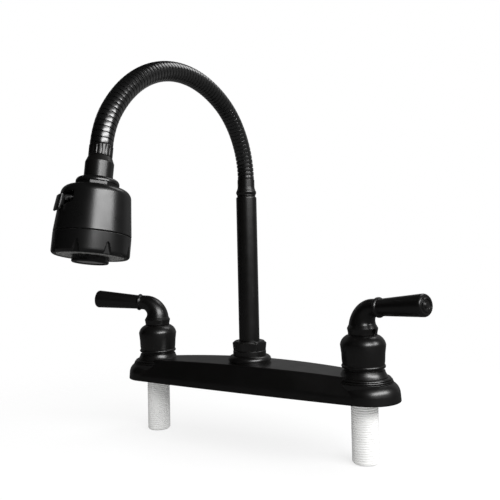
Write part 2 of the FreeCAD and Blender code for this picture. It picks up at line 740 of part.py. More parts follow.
def make_cartridge(side, sign):
    """Brass quarter-turn cartridge: barrel with windows, ceramic discs, stem, seals and its nut."""
    hub_x = sign + "hub_offset"
    barrel = new_body(side + "_cartridge_blank", x=hub_x)
    bore = "(stem_radius + running_gap)"
    revolve(barrel, side + "_cartridge_turning", [
        ("cartridge_bore", "cartridge_bottom"),
        ("cartridge_radius", "cartridge_bottom"),
        ("cartridge_radius", "valve_neck_top"),
        ("cartridge_flange_radius", "valve_neck_top"),
        ("cartridge_flange_radius", FLANGE_TOP),
        ("cartridge_neck_radius", FLANGE_TOP),
        ("cartridge_neck_radius", "cartridge_neck_top"),
        (bore, "cartridge_neck_top"),
        (bore, "cartridge_chamber_top"),
        ("cartridge_bore", "cartridge_chamber_top"),
    ])
    windows = box(side + "_cartridge_windows", "2 * cartridge_radius + 2", "window_width",
                  "window_height", hub_x, "0", "window_bottom")
    keep(cut(side + "_cartridge_barrel", barrel, windows), side + "_cartridge_body")
    turned(side + "_seat_seal", [
        ("disc_radius - seat_seal_wall", "valve_seat"),
        ("disc_radius", "valve_seat"),
        ("disc_radius", DISC_FLOOR),
        ("disc_radius - seat_seal_wall", DISC_FLOOR),
    ], x=hub_x)
    for name, floor in (("fixed", DISC_FLOOR), ("moving", DISC_FLOOR + " + disc_thickness")):
        disc = new_body("%s_%s_disc_body" % (side, name), x=hub_x)
        face = new_sketch(disc, "%s_%s_disc_face" % (side, name), "XY_Plane", shift=("0", "0", floor))
        draw_circle(face, "disc_radius")
        # Two quarter ports face each other across the disc.
        for ahead in ("", "-"):
            draw_outline(face, [
                (ahead + "1.2", ahead + "1.2"),
                (ahead + "disc_port_radius", ahead + "1.2",
                 "sqrt(disc_port_radius^2 + 1.2^2)"),
                (ahead + "1.2", ahead + "disc_port_radius"),
            ])
        pad(disc, "%s_%s_disc_plate" % (side, name), face, "disc_thickness")
        keep(disc, "%s_%s_disc" % (side, name))
    groove_floor = "(stem_radius - 2 * stem_ring_radius)"
    stem = new_body(side + "_stem_blank", x=hub_x)
    revolve(stem, side + "_stem_turning", [
        ("0", STEM_FOOT),
        ("disc_radius - snug_gap", STEM_FOOT),
        ("disc_radius - snug_gap", STEM_FOOT + " + stem_foot_height"),
        ("stem_radius", STEM_FOOT + " + stem_foot_height + 1.2"),
        ("stem_radius", "stem_ring_height - stem_groove_width / 2"),
        (groove_floor, "stem_ring_height - stem_groove_width / 2"),
        (groove_floor, "stem_ring_height + stem_groove_width / 2"),
        ("stem_radius", "stem_ring_height + stem_groove_width / 2"),
        ("stem_radius", "stem_top - spline_length"),
        ("spline_radius - 0.5", "stem_top - spline_length + 0.5"),
        ("spline_radius - 0.5", "stem_top"),
        ("0", "stem_top"),
    ])
    spline = draw_polygon(new_sketch(stem, side + "_spline_section", "XY_Plane",
                                     shift=("0", "0", "stem_top - spline_length + 0.6")),
                          "2 * spline_radius", "spline_teeth")
    pad(stem, side + "_spline", spline, "spline_length - 1.1")
    keep(stem, side + "_stem")
    ring_radius = "stem_radius + running_gap - seal_gap - stem_ring_radius"
    keep(torus(side + "_stem_ring_torus", ring_radius, "stem_ring_radius", hub_x, "0", "stem_ring_height"),
         side + "_stem_ring")
    nut = new_body(side + "_bonnet_blank", x=hub_x)
    head = draw_polygon(new_sketch(nut, side + "_bonnet_hexagon", "XY_Plane", shift=("0", "0", FLANGE_TOP)),
                        "nut_flats", "6", "15")
    pad(nut, side + "_bonnet_head", head, "nut_head_height")
    thread = "(valve_neck_radius + snug_gap)"
    revolve(nut, side + "_bonnet_skirt", [
        (thread, FLANGE_TOP + " - nut_skirt"),
        (thread + " + nut_skirt_wall", FLANGE_TOP + " - nut_skirt"),
        (thread + " + nut_skirt_wall", FLANGE_TOP + " + 1"),
        ("0", FLANGE_TOP + " + 1"),
        ("0", FLANGE_TOP),
        (thread, FLANGE_TOP),
    ])
    hole = draw_circle(new_sketch(nut, side + "_bonnet_hole_circle", "XY_Plane"), "cartridge_neck_radius + fit_gap")
    pad(nut, side + "_bonnet_hole", hole, "120", kind="Pocket", Midplane=True)
    keep(nut, side + "_bonnet_nut")


def lever_heading(sign):
    """The way that a lever points at rest, turned towards the user from straight outwards."""
    return "180 + lever_rest_angle" if sign == "-" else "-lever_rest_angle"


def make_lever(side, sign):
    """Die-cast lever: foot with a sharp edge, tapering horn-shaped elbow, bead, flared grip and tip."""
    foot = "(hub_top + fit_gap)"
    body = doc.addObject("PartDesign::Body", side + "_lever_blank")
    body.Placement = FreeCAD.Placement(FreeCAD.Vector(), FreeCAD.Rotation(FreeCAD.Vector(0, 0, 1), -1))
    bind(body, "Placement.Rotation.Angle", lever_heading(sign))
    place(body, sign + "hub_offset")
    bend = foot + " + elbow_start_height"
    revolve(body, side + "_lever_foot", [
        ("0", foot),
        ("lever_foot_radius", foot),
        ("lever_foot_radius", foot + " + lever_foot_height"),
        ("lever_edge_radius", foot + " + lever_edge_height"),
        ("lever_edge_radius", foot + " + lever_edge_height + lever_edge_band"),
        ("elbow_start_radius", bend),
        ("0", bend),
    ])
    steps = 5
    sections = []
    for step in range(steps + 1):
        share = step / steps
        turn = "(elbow_turn * %.2f)" % share
        centre = ("elbow_bend * (1 - cos(%s))" % turn, "0", "%s + elbow_bend * sin(%s)" % (bend, turn))
        section = new_sketch(body, "%s_elbow_section_%d" % (side, step), "XY_Plane", turn=turn, shift=centre)
        radius = "elbow_end_radius + (elbow_start_radius - elbow_end_radius) * %.4f" % ((1 - share) ** 1.1)
        sections.append(draw_circle(section, radius))
        section.Visibility = False
    elbow = add_feature(body, "AdditiveLoft", side + "_elbow", sections[0])
    elbow.Sections = sections[1:]
    # The grip is turned about the elbow's last direction.
    far = "elbow_bend * (1 - cos(elbow_turn))"
    high = "%s + elbow_bend * sin(elbow_turn)" % bend
    rise = "(90 - elbow_turn)"
    start = "(-0.6)"

    def along(reach):
        return "((%s - %s) / cos(%s))" % (reach, far, rise)

    corners = [
        (start, "0"),
        (start, "elbow_end_radius - 0.05"),
        (along("bead_reach") + " - bead_width / 2 - 0.5", "elbow_end_radius"),
        (along("bead_reach") + " - bead_width / 2", "bead_radius - 0.7", "-1.6"),
        (along("bead_reach") + " + bead_width / 2", "bead_radius - 0.7"),
        (along("bead_reach") + " + bead_width / 2 + 0.5", "grip_start_radius"),
        (along("(tip_reach - tip_length)"), "grip_end_radius", "-(tip_length * 6 / 7)"),
        (along("tip_reach") + " - 0.9", "tip_ring_radius"),
        (along("tip_reach") + " - 0.9", "tip_dish_radius + 0.9"),
        (along("tip_reach"), "tip_dish_radius + 0.5"),
        (along("tip_reach"), "tip_dish_radius"),
        (along("tip_reach") + " - tip_dish_depth", "tip_dish_radius - 0.5"),
        (along("tip_reach") + " - tip_dish_depth", "tip_button_radius"),
        (along("tip_reach"), "tip_button_radius - 0.9"),
        (along("tip_reach"), "0"),
    ]
    # Sketch plane XZ tipped about its normal, so that its own X runs out along the grip.
    revolve(body, side + "_grip", corners, turn=rise, turn_axis=(0, 0, 1), shift=(far, high, "0"), axis="H_Axis")
    socket = draw_circle(new_sketch(body, side + "_socket_circle", "XY_Plane", shift=("0", "0", foot)),
                         "stem_radius + snug_gap")
    pad(body, side + "_socket", socket, "lever_socket_depth", kind="Pocket", Reversed=True)
    return body, foot


def make_levers():
    """Both levers, each drilled for its set screw, and the screws."""
    for side, sign in (("hot", "-"), ("cold", "")):
        lever, foot = make_lever(side, sign)
        height = foot + " + set_screw_height"
        screw = new_body(side + "_set_screw_body", x=sign + "hub_offset", z=height)
        reach = "(stem_radius + snug_gap)"
        shank = new_sketch(screw, side + "_set_screw_profile", "XY_Plane",
                           turn=lever_heading(sign), turn_axis=(0, 0, 1))
        draw_outline(shank, [
            (reach, "0"),
            (reach, "set_screw_radius - 0.6"),
            (reach + " + 0.6", "set_screw_radius"),
            (reach + " + set_screw_length", "set_screw_radius"),
            (reach + " + set_screw_length", "set_screw_key"),
            (reach + " + set_screw_length - 2", "set_screw_key"),
            (reach + " + set_screw_length - 2.6", "0"),
        ])
        turning = add_feature(screw, "Revolution", side + "_set_screw_turning", shank,
                              ReferenceAxis=(shank, ["H_Axis"]))
        turning.Angle = 360
        keep(screw, side + "_set_screw")
        drill = new_body(side + "_screw_drill", x=sign + "hub_offset", z=height)
        way = new_sketch(drill, side + "_screw_drill_profile", "XY_Plane",
                         turn=lever_heading(sign), turn_axis=(0, 0, 1))
        draw_outline(way, [
            ("0", "0"),
            ("0", "set_screw_radius + snug_gap"),
            ("lever_edge_radius + 2", "set_screw_radius + snug_gap"),
            ("lever_edge_radius + 2", "0"),
        ])
        boring = add_feature(drill, "Revolution", side + "_screw_drill_turning", way,
                             ReferenceAxis=(way, ["H_Axis"]))
        boring.Angle = 360
        keep(cut(side + "_lever_casting", lever, drill), side + "_lever")


# Spout foot

NUT_FLOOR = "(crown_height + flange_height)"
ARCH_FOOT = "(spout_top + ferrule_length)"
BUSH_FLOOR = "(tee_boss_top + fit_gap)"
BUSH_ROOF = "(tee_boss_top + 2 * fit_gap + bush_height)"


def make_spout_tee():
    """Brass centre body: a socket for each crossover pipe, a bore for the spout and a threaded boss."""
    body = new_body("spout_tee_blank")
    revolve(body, "tee_turning", [
        ("0", "gasket_thickness"),
        ("tee_shoulder_radius", "gasket_thickness"),
        ("tee_shoulder_radius", "centre_well_height - fit_gap"),
        ("tee_boss_radius", "centre_well_height - fit_gap"),
        ("tee_boss_radius", "tee_boss_top"),
        ("spout_radius + running_gap", "tee_boss_top"),
        ("spout_radius + running_gap", "spout_bottom - fit_gap"),
        ("tee_chamber_radius", "spout_bottom - fit_gap"),
        ("tee_chamber_radius", "tee_floor"),
        ("0", "tee_floor"),
    ])
    half = "(tee_shoulder_radius + socket_length)"
    boss = cylinder("tee_sockets", "socket_radius", "2 * " + half, "-" + half, z="pipe_height", along="X")
    joined = fused("tee_joined", [body, boss])
    tools = [cylinder("tee_passage", "pipe_bore", "2 * " + half, "-" + half, z="pipe_height", along="X")]
    tools.append(cylinder("tee_heart", "tee_chamber_radius", "spout_bottom - fit_gap - tee_floor", z="tee_floor"))
    tools.append(cylinder("tee_spout_bore", "spout_radius + running_gap", "tee_boss_top - spout_bottom",
                          z="spout_bottom - fit_gap"))
    for name, x in (("hot", "-" + half), ("cold", "tee_shoulder_radius")):
        tools.append(cylinder(name + "_tee_socket_bore", "pipe_radius + running_gap", "socket_length", x,
                              z="pipe_height", along="X"))
    keep(cut("spout_tee_casting", joined, fused("tee_tools", tools)), "spout_tee")


def make_spout_flange():
    """Rounded ring on the deck's crown, with a thin lip below."""
    turned("spout_flange", [
        ("tee_boss_radius + fit_gap", "crown_height"),
        ("flange_lip_radius", "crown_height"),
        ("flange_lip_radius", "crown_height + flange_lip_height"),
        ("flange_radius", "crown_height + flange_lip_height + 0.3"),
        ("flange_radius", "crown_height + flange_height - flange_curve + 0.6", "flange_curve"),
        ("spout_nut_collar_radius + 0.3", NUT_FLOOR),
        ("tee_boss_radius + fit_gap", NUT_FLOOR),
    ])


def make_spout_nut():
    """Hexagonal nut on a round collar, screwed on the boss; its roof holds the spout's bush down."""
    body = new_body("spout_nut_body")
    hex_floor = "(%s + spout_nut_collar_height)" % NUT_FLOOR
    hex_roof = "(%s + spout_nut_height)" % hex_floor
    hexagon = draw_polygon(new_sketch(body, "nut_hexagon", "XY_Plane", shift=("0", "0", hex_floor)),
                           "spout_nut_flats", "6", "spout_nut_turn")
    pad(body, "nut_prism", hexagon, "spout_nut_height")
    revolve(body, "nut_collar", [
        ("0", NUT_FLOOR),
        ("spout_nut_collar_radius", NUT_FLOOR),
        ("spout_nut_collar_radius", hex_floor + " - 0.5"),
        ("spout_nut_collar_radius - 0.8", hex_floor),
        ("0", hex_floor + " + 0.5"),
    ])
    corner = "(spout_nut_flats / 2 / cos(30))"
    revolve(body, "nut_chamfer", [
        (corner + " + 1", hex_roof + " - spout_nut_chamfer - 0.6"),
        (corner + " + 1", hex_roof + " + 1"),
        (corner + " - 3", hex_roof + " + 1"),
        (corner + " - 2.2", hex_roof),
    ], kind="Groove")
    revolve(body, "nut_bore", [
        ("0", NUT_FLOOR + " - 1"),
        ("tee_boss_radius + fit_gap", NUT_FLOOR + " - 1"),
        ("tee_boss_radius + fit_gap", BUSH_ROOF),
        ("spout_radius + fit_gap", BUSH_ROOF),
        ("spout_radius + fit_gap", hex_roof + " + 1"),
        ("0", hex_roof + " + 1"),
    ], kind="Groove")
    revolve(body, "nut_taper", [
        (corner + " + 1", hex_floor + " - 0.2"),
        (corner + " + 1", hex_floor + " + 5"),
        (corner, hex_floor + " + 5"),
        (corner + " - 0.7", hex_floor),
        (corner + " - 0.7", hex_floor + " - 0.2"),
    ], kind="Groove")
    keep(body, "spout_nut")


def make_spout_tube():
    """The standing pipe, with grooves for its rubber rings and its bush, and the pieces on it."""
    groove = "(spout_radius - spout_groove_depth)"
    corners = [("spout_bore", "spout_bottom"), ("spout_radius", "spout_bottom")]
    for middle in ("spout_ring_low", "spout_ring_high"):
        corners += [
            ("spout_radius", middle + " - spout_groove_width / 2"),
            (groove, middle + " - spout_groove_width / 2"),
            (groove, middle + " + spout_groove_width / 2"),
            ("spout_radius", middle + " + spout_groove_width / 2"),
        ]
    bush_floor = BUSH_FLOOR
    bush_roof = "(%s + bush_height)" % BUSH_FLOOR
    bush_seat = "(spout_radius - bush_groove_depth)"
    corners += [
        ("spout_radius", bush_floor),
        (bush_seat, bush_floor),
        (bush_seat, bush_roof),
        ("spout_radius", bush_roof),
        ("spout_radius", "spout_top - spout_rounding", "spout_rounding"),
        ("spout_radius - spout_rounding", "spout_top"),
        ("spout_bore", "spout_top"),
    ]
    turned("spout_tube", corners)
    turned("spout_bush", [
        (bush_seat + " + running_gap", bush_floor),
        ("bush_radius", bush_floor),
        ("bush_radius", bush_roof),
        (bush_seat + " + running_gap", bush_roof),
    ])
    ring_radius = "spout_radius + running_gap - seal_gap - spout_ring_radius"
    rings = [torus("spout_ring_%s" % name, ring_radius, "spout_ring_radius", z=middle)
             for name, middle in (("lower", "spout_ring_low"), ("upper", "spout_ring_high"))]
    keep(fused("spout_ring_pair", rings), "spout_rings")
    neck = "(spout_top + ferrule_neck_height)"
    bead = "(%s + ferrule_bead_height)" % neck
    turned("hose_ferrule", [
        ("liner_radius + snug_gap", "spout_top - ferrule_spigot"),
        ("spout_bore - snug_gap", "spout_top - ferrule_spigot"),
        ("spout_bore - snug_gap", "spout_top"),
        ("ferrule_neck_radius - 0.6", "spout_top"),
        ("ferrule_neck_radius", "spout_top + 0.5"),
        ("ferrule_neck_radius", neck),
        ("ferrule_bead_radius - 0.3", neck + " + 0.5", "2.8"),
        ("ferrule_bead_radius - 0.5", bead + " - 0.4"),
        ("ferrule_radius", bead + " + ferrule_taper"),
        ("ferrule_radius", ARCH_FOOT),
        ("liner_radius + snug_gap", ARCH_FOOT),
    ])


# Bendable hose

ARCS = [("rise_radius", "rise_turn"), ("crown_radius", "crown_turn"), ("fall_radius", "fall_turn")]
TURNS = ["0", "rise_turn", "(rise_turn + crown_turn)", "(rise_turn + crown_turn + fall_turn)"]
HEAD_LEAN = "(180 - %s)" % TURNS[3]
HOSE_END_Y = " + ".join("%s * (cos(%s) - cos(%s))" % (ARCS[i][0], TURNS[i + 1], TURNS[i]) for i in range(3))
HOSE_END_Z = ARCH_FOOT + " + " + " + ".join(
    "%s * (sin(%s) - sin(%s))" % (ARCS[i][0], TURNS[i + 1], TURNS[i]) for i in range(3))


def arch_point(length):
    """Gives the centre line's place and direction at a length along the arch, from its foot."""
    y = 0.0
    z = size(ARCH_FOOT)
    heading = 0.0
    left = length
    for radius_name, turn_name in ARCS:
        radius = size(radius_name)
        turn = math.radians(size(turn_name))
        step = min(left / radius, turn) if turn_name != ARCS[-1][1] else left / radius
        y += radius * (math.cos(heading + step) - math.cos(heading))
        z += radius * (math.sin(heading + step) - math.sin(heading))
        heading += step
        left -= step * radius
        if left <= 1e-9:
            break
    return FreeCAD.Vector(0, y, z), FreeCAD.Vector(0, -math.sin(heading), math.cos(heading))


def arch_length():
    """Gives the length of the arch's centre line."""
    return sum(size(radius) * math.radians(size(turn)) for radius, turn in ARCS)


def hose_circle(radius, length):
    """A circle across the hose at a length along it, its start always on the +X side."""
    centre, direction = arch_point(length)
    axes = FreeCAD.Rotation(FreeCAD.Vector(1, 0, 0), FreeCAD.Vector(), direction, "XZY")
    circle = Part.Circle(FreeCAD.Vector(), FreeCAD.Vector(0, 0, 1), radius).toShape()
    circle.Placement = FreeCAD.Placement(centre, axes)
    return Part.Wire([circle])


def hose_tube(radius, start, end):
    """A plain round bar inside the hose between two lengths, in steps of about a rib."""
    steps = max(2, int(round((end - start) / 6.0)))
    rings = [hose_circle(radius, start + (end - start) * index / steps) for index in range(steps + 1)]
    return Part.makeLoft(rings, True, True)


def make_hose():
    """Ribbed hose in three lengths with its bore, and the smooth liner inside, in the same lengths."""
    total = arch_length()
    ribs = int(size("rib_count"))
    pitch = total / ribs
    crest = size("hose_radius")
    valley = crest - size("hose_valley")
    crest_share = size("rib_crest_share")
    slope = (1 - crest_share) / 4
    names = ("rise", "crown", "fall")
    insert = size("liner_insert")
    volumes = []
    for index, name in enumerate(names):
        first = ribs * index // 3
        last = ribs * (index + 1) // 3
        start = first * pitch
        end = last * pitch
        rings = [hose_circle(valley, start)]
        for rib in range(first, last):
            at = rib * pitch
            rings.append(hose_circle(valley, at + slope * pitch))
            rings.append(hose_circle(crest, at + 2 * slope * pitch))
            rings.append(hose_circle(crest, at + (1 - 2 * slope) * pitch))
            rings.append(hose_circle(valley, at + (1 - slope) * pitch))
        rings.append(hose_circle(valley, end))
        outside = Part.makeLoft(rings, True, True)
        hose = outside.cut(hose_tube(size("hose_bore"), start - 0.01, end + 0.01))
        piece = doc.addObject("Part::Feature", "hose_%s_solid" % name)
        piece.Shape = hose
        keep(piece, "hose_%s" % name)
        liner_start = start
        liner = hose_tube(size("liner_radius"), liner_start, end)
        if index == 0:
            foot = FreeCAD.Vector(0, 0, size(ARCH_FOOT) - insert)
            liner = liner.fuse(Part.makeCylinder(size("liner_radius"), insert, foot))
        hollow = hose_tube(size("liner_bore"), liner_start - (0.01 if index else 0), end + 0.01)
        if index == 0:
            foot = FreeCAD.Vector(0, 0, size(ARCH_FOOT) - insert - 1)
            hollow = hollow.fuse(Part.makeCylinder(size("liner_bore"), insert + 1.001, foot))
        lining = doc.addObject("Part::Feature", "liner_%s_solid" % name)
        lining.Shape = liner.cut(hollow)
        keep(lining, "liner_%s" % name)
        volumes.append((name, hose.Volume, lining.Shape.Volume, end - start))
    for name, hose_volume, liner_volume, length in volumes:
        plain = math.pi * (size("liner_radius") ** 2 - size("liner_bore") ** 2) * length
        print("hose_%s: length %.1f, solid %.0f mm3, liner %.0f mm3 against %.0f for its section times length"
              % (name, length, hose_volume, liner_volume, plain))


# Spray head. Its pieces are drawn hanging down their own axis from the hose's end, then leaned.

def head_body(name):
    """An empty body on the head's axis."""
    return new_body(name, "0", HOSE_END_Y, HOSE_END_Z, HEAD_LEAN)


def hanging(label, corners):
    """A turned piece on the head's axis; corners are (radius, distance down from the hose's end)."""
    body = head_body(label)
    revolve(body, label + "_turning", down(corners))
    return keep(body, label)


def down(corners):
    """Turns distances down the head's axis into heights, and keeps the side that arcs turn to."""
    return [(corner[0], "-(%s)" % corner[1]) + tuple(corner[2:]) for corner in corners]


COLLAR_TOP = "sleeve_end"
SHELL_TOP = "(sleeve_end + collar_height)"
PARTING = "(sleeve_end + collar_height + shell_height)"
FACE = "(sleeve_end + collar_height + shell_height + parting_gap + grip_ring_height)"
FLANGE_ROOM = "(sleeve_end + collar_roof)"
SHELL_INNER = "(shell_bottom_radius - shell_wall)"
TAB_TURN = "(tab_azimuth + 90)"
TAB_PIN_RADIUS = "(shell_shoulder_radius - tab_pin_depth)"
TAB_PIN_PLACE = "(%s + tab_top + tab_pin_drop)" % SHELL_TOP


def outward(reach, turn=TAB_TURN):
    """Moves an upright sketch out along its own normal, to a reach from the head's axis."""
    return ("%s * sin(%s)" % (reach, turn), "0", "%s * cos(%s)" % (reach, turn))


def make_hose_end():
    """The fluted nut crimped on the hose and the sleeve that the head swivels on."""
    nut = head_body("hose_end_nut_body")
    revolve(nut, "end_nut_turning", down([
        ("liner_radius + snug_gap", "0"),
        ("end_nut_radius - 0.4", "0"),
        ("end_nut_radius", "0.6"),
        ("end_nut_radius", "end_nut_height - 0.5"),
        ("end_nut_radius - 0.5", "end_nut_height"),
        ("liner_radius + snug_gap", "end_nut_height"),
    ]))
    flute = draw_circle(new_sketch(nut, "flute_circle", "XY_Plane", shift=("0", "0", "-0.9")),
                        "flute_radius", "end_nut_radius + flute_radius - flute_depth")
    channel = pad(nut, "flute", flute, "end_nut_height - 1.6", kind="Pocket")
    doc.recompute()
    ring = nut.newObject("PartDesign::PolarPattern", "flutes")
    ring.Originals = [channel]
    ring.Axis = (flute, ["N_Axis"])
    ring.Angle = 360
    bind(ring, "Occurrences", "end_nut_flutes")
    nut.Tip = ring
    keep(nut, "hose_end_nut")
    cone_end = "(end_nut_height + sleeve_cone_height)"
    flange_floor = "(%s + fit_gap)" % FLANGE_ROOM
    hanging("swivel_sleeve", [
        ("sleeve_bore", "end_nut_height"),
        ("end_nut_radius - 0.1", "end_nut_height"),
        ("sleeve_radius", cone_end),
        ("sleeve_radius", flange_floor),
        ("ball_flange_radius", flange_floor),
        ("ball_flange_radius", flange_floor + " + ball_flange_height"),
        ("sleeve_bore", flange_floor + " + ball_flange_height"),
    ])


def make_collar():
    """The cap that holds the sleeve's flange: round shoulder above, eight flats below."""
    body = head_body("head_collar_body")
    flats = draw_polygon(new_sketch(body, "collar_flats_outline", "XY_Plane", shift=("0", "0", "-" + SHELL_TOP)),
                         "collar_flats", "8", "3")
    pad(body, "collar_prism", flats, "collar_flat_height")
    revolve(body, "collar_turning", down([
        ("0", COLLAR_TOP),
        ("collar_radius - collar_rounding", COLLAR_TOP, "-collar_rounding"),
        ("collar_radius", COLLAR_TOP + " + collar_rounding"),
        ("collar_radius", COLLAR_TOP + " + collar_rounding + 0.5"),
        ("collar_radius - 0.9", COLLAR_TOP + " + collar_rounding + 1.2"),
        ("0", COLLAR_TOP + " + collar_rounding + 1.2"),
    ]))
    revolve(body, "collar_bore", down([
        ("0", COLLAR_TOP + " - 1"),
        ("sleeve_radius + running_gap", COLLAR_TOP + " - 1"),
        ("sleeve_radius + running_gap", FLANGE_ROOM),
        ("core_neck_radius + fit_gap", FLANGE_ROOM),
        ("core_neck_radius + fit_gap", SHELL_TOP + " + 1"),
        ("0", SHELL_TOP + " + 1"),
    ]), kind="Groove")
    keep(body, "head_collar")


def make_head_shell():
    """The bell of the spray head, with the pocket for the mode tab in its shoulder."""
    body = head_body("head_shell_body")
    shoulder = "(%s + shell_shoulder_height)" % SHELL_TOP
    revolve(body, "shell_turning", down([
        ("core_neck_radius + fit_gap", SHELL_TOP),
        ("shell_top_radius", SHELL_TOP, "-shell_shoulder_curve"),
        ("shell_shoulder_radius", shoulder),
        ("shell_bottom_radius", PARTING),
        (SHELL_INNER, PARTING),
        (SHELL_INNER, PARTING + " - 4"),
        ("shell_shoulder_radius - shell_wall", shoulder),
        ("shell_shoulder_radius - shell_wall - 2", SHELL_TOP + " + shell_wall + 1.2"),
        ("core_neck_radius + fit_gap", SHELL_TOP + " + shell_wall + 0.6"),
    ]))
    pocket_top = "(%s + tab_top - tab_pocket_rim)" % SHELL_TOP
    pocket_foot = "(%s + tab_pocket_height)" % pocket_top
    # A patch behind the pocket keeps the wall closed.
    floor = "(shell_shoulder_radius - tab_pocket_depth)"
    inside = "(shell_shoulder_radius - shell_wall + 0.6)"
    revolve(body, "pocket_back", down([
        (floor + " - 1.6", SHELL_TOP + " + shell_wall"),
        (inside, SHELL_TOP + " + shell_wall + 1.5"),
        (inside, pocket_foot + " + 1.6"),
        (floor + " - 1.6", pocket_foot + " + 1.6"),
    ]), turn="tab_azimuth", angle="tab_patch_angle")
    mouth = new_sketch(body, "tab_pocket_mouth", turn=TAB_TURN, shift=outward(floor))
    side_foot = "(%s + tab_pocket_side)" % pocket_top
    draw_outline(mouth, down([
        ("-tab_pocket_half", side_foot),
        ("-tab_pocket_foot_half", pocket_foot),
        ("tab_pocket_foot_half", pocket_foot),
        ("tab_pocket_half", side_foot),
        ("tab_pocket_half", pocket_top + " + 1.5"),
        ("tab_pocket_half - 1.5", pocket_top),
        ("1.5 - tab_pocket_half", pocket_top),
        ("-tab_pocket_half", pocket_top + " + 1.5"),
    ]))
    pad(body, "tab_pocket", mouth, "tab_pocket_depth + 4", kind="Pocket", Reversed=True)
    holes = new_sketch(body, "tab_pin_holes", turn="tab_azimuth")
    draw_circle(holes, "tab_pin_radius + 0.03", TAB_PIN_RADIUS, "-" + TAB_PIN_PLACE)
    pad(body, "tab_pin_hole", holes, "2 * (tab_pocket_half + tab_pin_bite + 0.1)", kind="Pocket", Midplane=True)
    keep(body, "head_shell")


def make_mode_tab():
    """The rocker that picks the spray, its pin, and the spool that it moves."""
    body = head_body("mode_tab_body")
    top = "(%s + tab_top)" % SHELL_TOP
    foot = "(%s + tab_top + tab_height)" % SHELL_TOP
    high = "(shell_shoulder_radius + tab_proud_top)"
    low = "(shell_shoulder_radius + tab_proud_foot)"
    revolve(body, "tab_plate", down([
        (high + " - tab_thickness", top + " + 0.8"),
        (high + " - 0.6", top),
        (high, top + " + 0.6"),
        (low, foot + " - 0.5"),
        (low + " - 0.4", foot),
        (low + " - tab_foot_thickness", foot),
        (low + " - tab_foot_thickness", top + " + tab_step + 1"),
        (high + " - tab_thickness", top + " + tab_step"),
    ]), turn="tab_azimuth", angle="tab_angle")
    lug = draw_circle(new_sketch(body, "tab_lug_circle", turn="tab_azimuth"), "tab_lug_radius",
                      TAB_PIN_RADIUS, "-" + TAB_PIN_PLACE)
    pad(body, "tab_lug", lug, "2 * tab_lug_half", Midplane=True)
    web = new_sketch(body, "tab_web_outline", turn="tab_azimuth")
    draw_outline(web, [
        (TAB_PIN_RADIUS, "tab_lug_radius * 0.9 - " + TAB_PIN_PLACE),
        (high + " - 1", "tab_lug_radius * 0.9 - " + TAB_PIN_PLACE),
        (high + " - 1", "-tab_lug_radius * 0.9 - " + TAB_PIN_PLACE),
        (TAB_PIN_RADIUS, "-tab_lug_radius * 0.9 - " + TAB_PIN_PLACE),
    ])
    pad(body, "tab_web", web, "tab_lug_half", Midplane=True)
    bore = draw_circle(new_sketch(body, "tab_bore_circle", turn="tab_azimuth"), "tab_pin_radius + running_gap",
                       TAB_PIN_RADIUS, "-" + TAB_PIN_PLACE)
    pad(body, "tab_bore", bore, "60", kind="Pocket", Midplane=True)
    keep(body, "mode_tab")
    axle = head_body("tab_pin_body")
    section = draw_circle(new_sketch(axle, "tab_pin_circle", turn="tab_azimuth"), "tab_pin_radius",
                          TAB_PIN_RADIUS, "-" + TAB_PIN_PLACE)
    pad(axle, "tab_pin_rod", section, "2 * (tab_pocket_half + tab_pin_bite)", Midplane=True)
    keep(axle, "tab_pin")
    hanging("diverter_spool", [
        ("0", "spool_place"),
        ("core_bore - 1.6", "spool_place"),
        ("core_bore - running_gap", "spool_place + 1.2"),
        ("core_bore - running_gap", "spool_place + 3.2"),
        ("core_bore - 2.2", "spool_place + 4"),
        ("core_bore - 2.2", "spool_place + spool_length - 4"),
        ("core_bore - running_gap", "spool_place + spool_length - 3.2"),
        ("core_bore - running_gap", "spool_place + spool_length - 1.2"),
        ("core_bore - 1.6", "spool_place + spool_length"),
        ("0", "spool_place + spool_length"),
    ])


def make_head_core():
    """The moulding inside the shell: neck, roof, centre tube and the floor that feeds the nozzles."""
    neck_top = "(%s + fit_gap + ball_flange_height + fit_gap)" % FLANGE_ROOM
    roof = "(%s + shell_wall + 4.6)" % SHELL_TOP
    inner = "(%s - snug_gap)" % SHELL_INNER
    floor = "(%s - spray_plate_inset - spray_plate_thickness - core_floor_height)" % FACE
    aerator_top = "(%s + aerator_reach - aerator_depth)" % FACE
    hanging("head_core", [
        ("washer_radius + snug_gap", neck_top),
        ("core_neck_radius", neck_top),
        ("core_neck_radius", roof),
        ("shell_shoulder_radius - tab_pocket_depth - 2.2", roof),
        ("shell_shoulder_radius - tab_pocket_depth - 2.2", roof + " + core_roof"),
        ("core_tube_radius", roof + " + core_roof"),
        ("core_tube_radius", PARTING + " - 3"),
        (inner, PARTING + " - 3"),
        (inner, PARTING),
        ("shell_bottom_radius - grip_ring_wall - 2 * snug_gap", PARTING),
        ("shell_bottom_radius - grip_ring_wall - 2 * snug_gap", floor + " + core_floor_height - 1.5"),
        ("aerator_radius + 1", floor + " + core_floor_height - 1.5"),
        ("aerator_radius + snug_gap", floor + " + core_floor_height - 1.5"),
        ("aerator_radius + snug_gap", aerator_top),
        ("core_bore", aerator_top),
        ("core_bore", neck_top + " + washer_thickness"),
        ("washer_radius + snug_gap", neck_top + " + washer_thickness"),
    ])
    hanging("inlet_washer", [
        ("sleeve_bore", neck_top),
        ("washer_radius", neck_top),
        ("washer_radius", neck_top + " + washer_thickness"),
        ("sleeve_bore", neck_top + " + washer_thickness"),
    ])


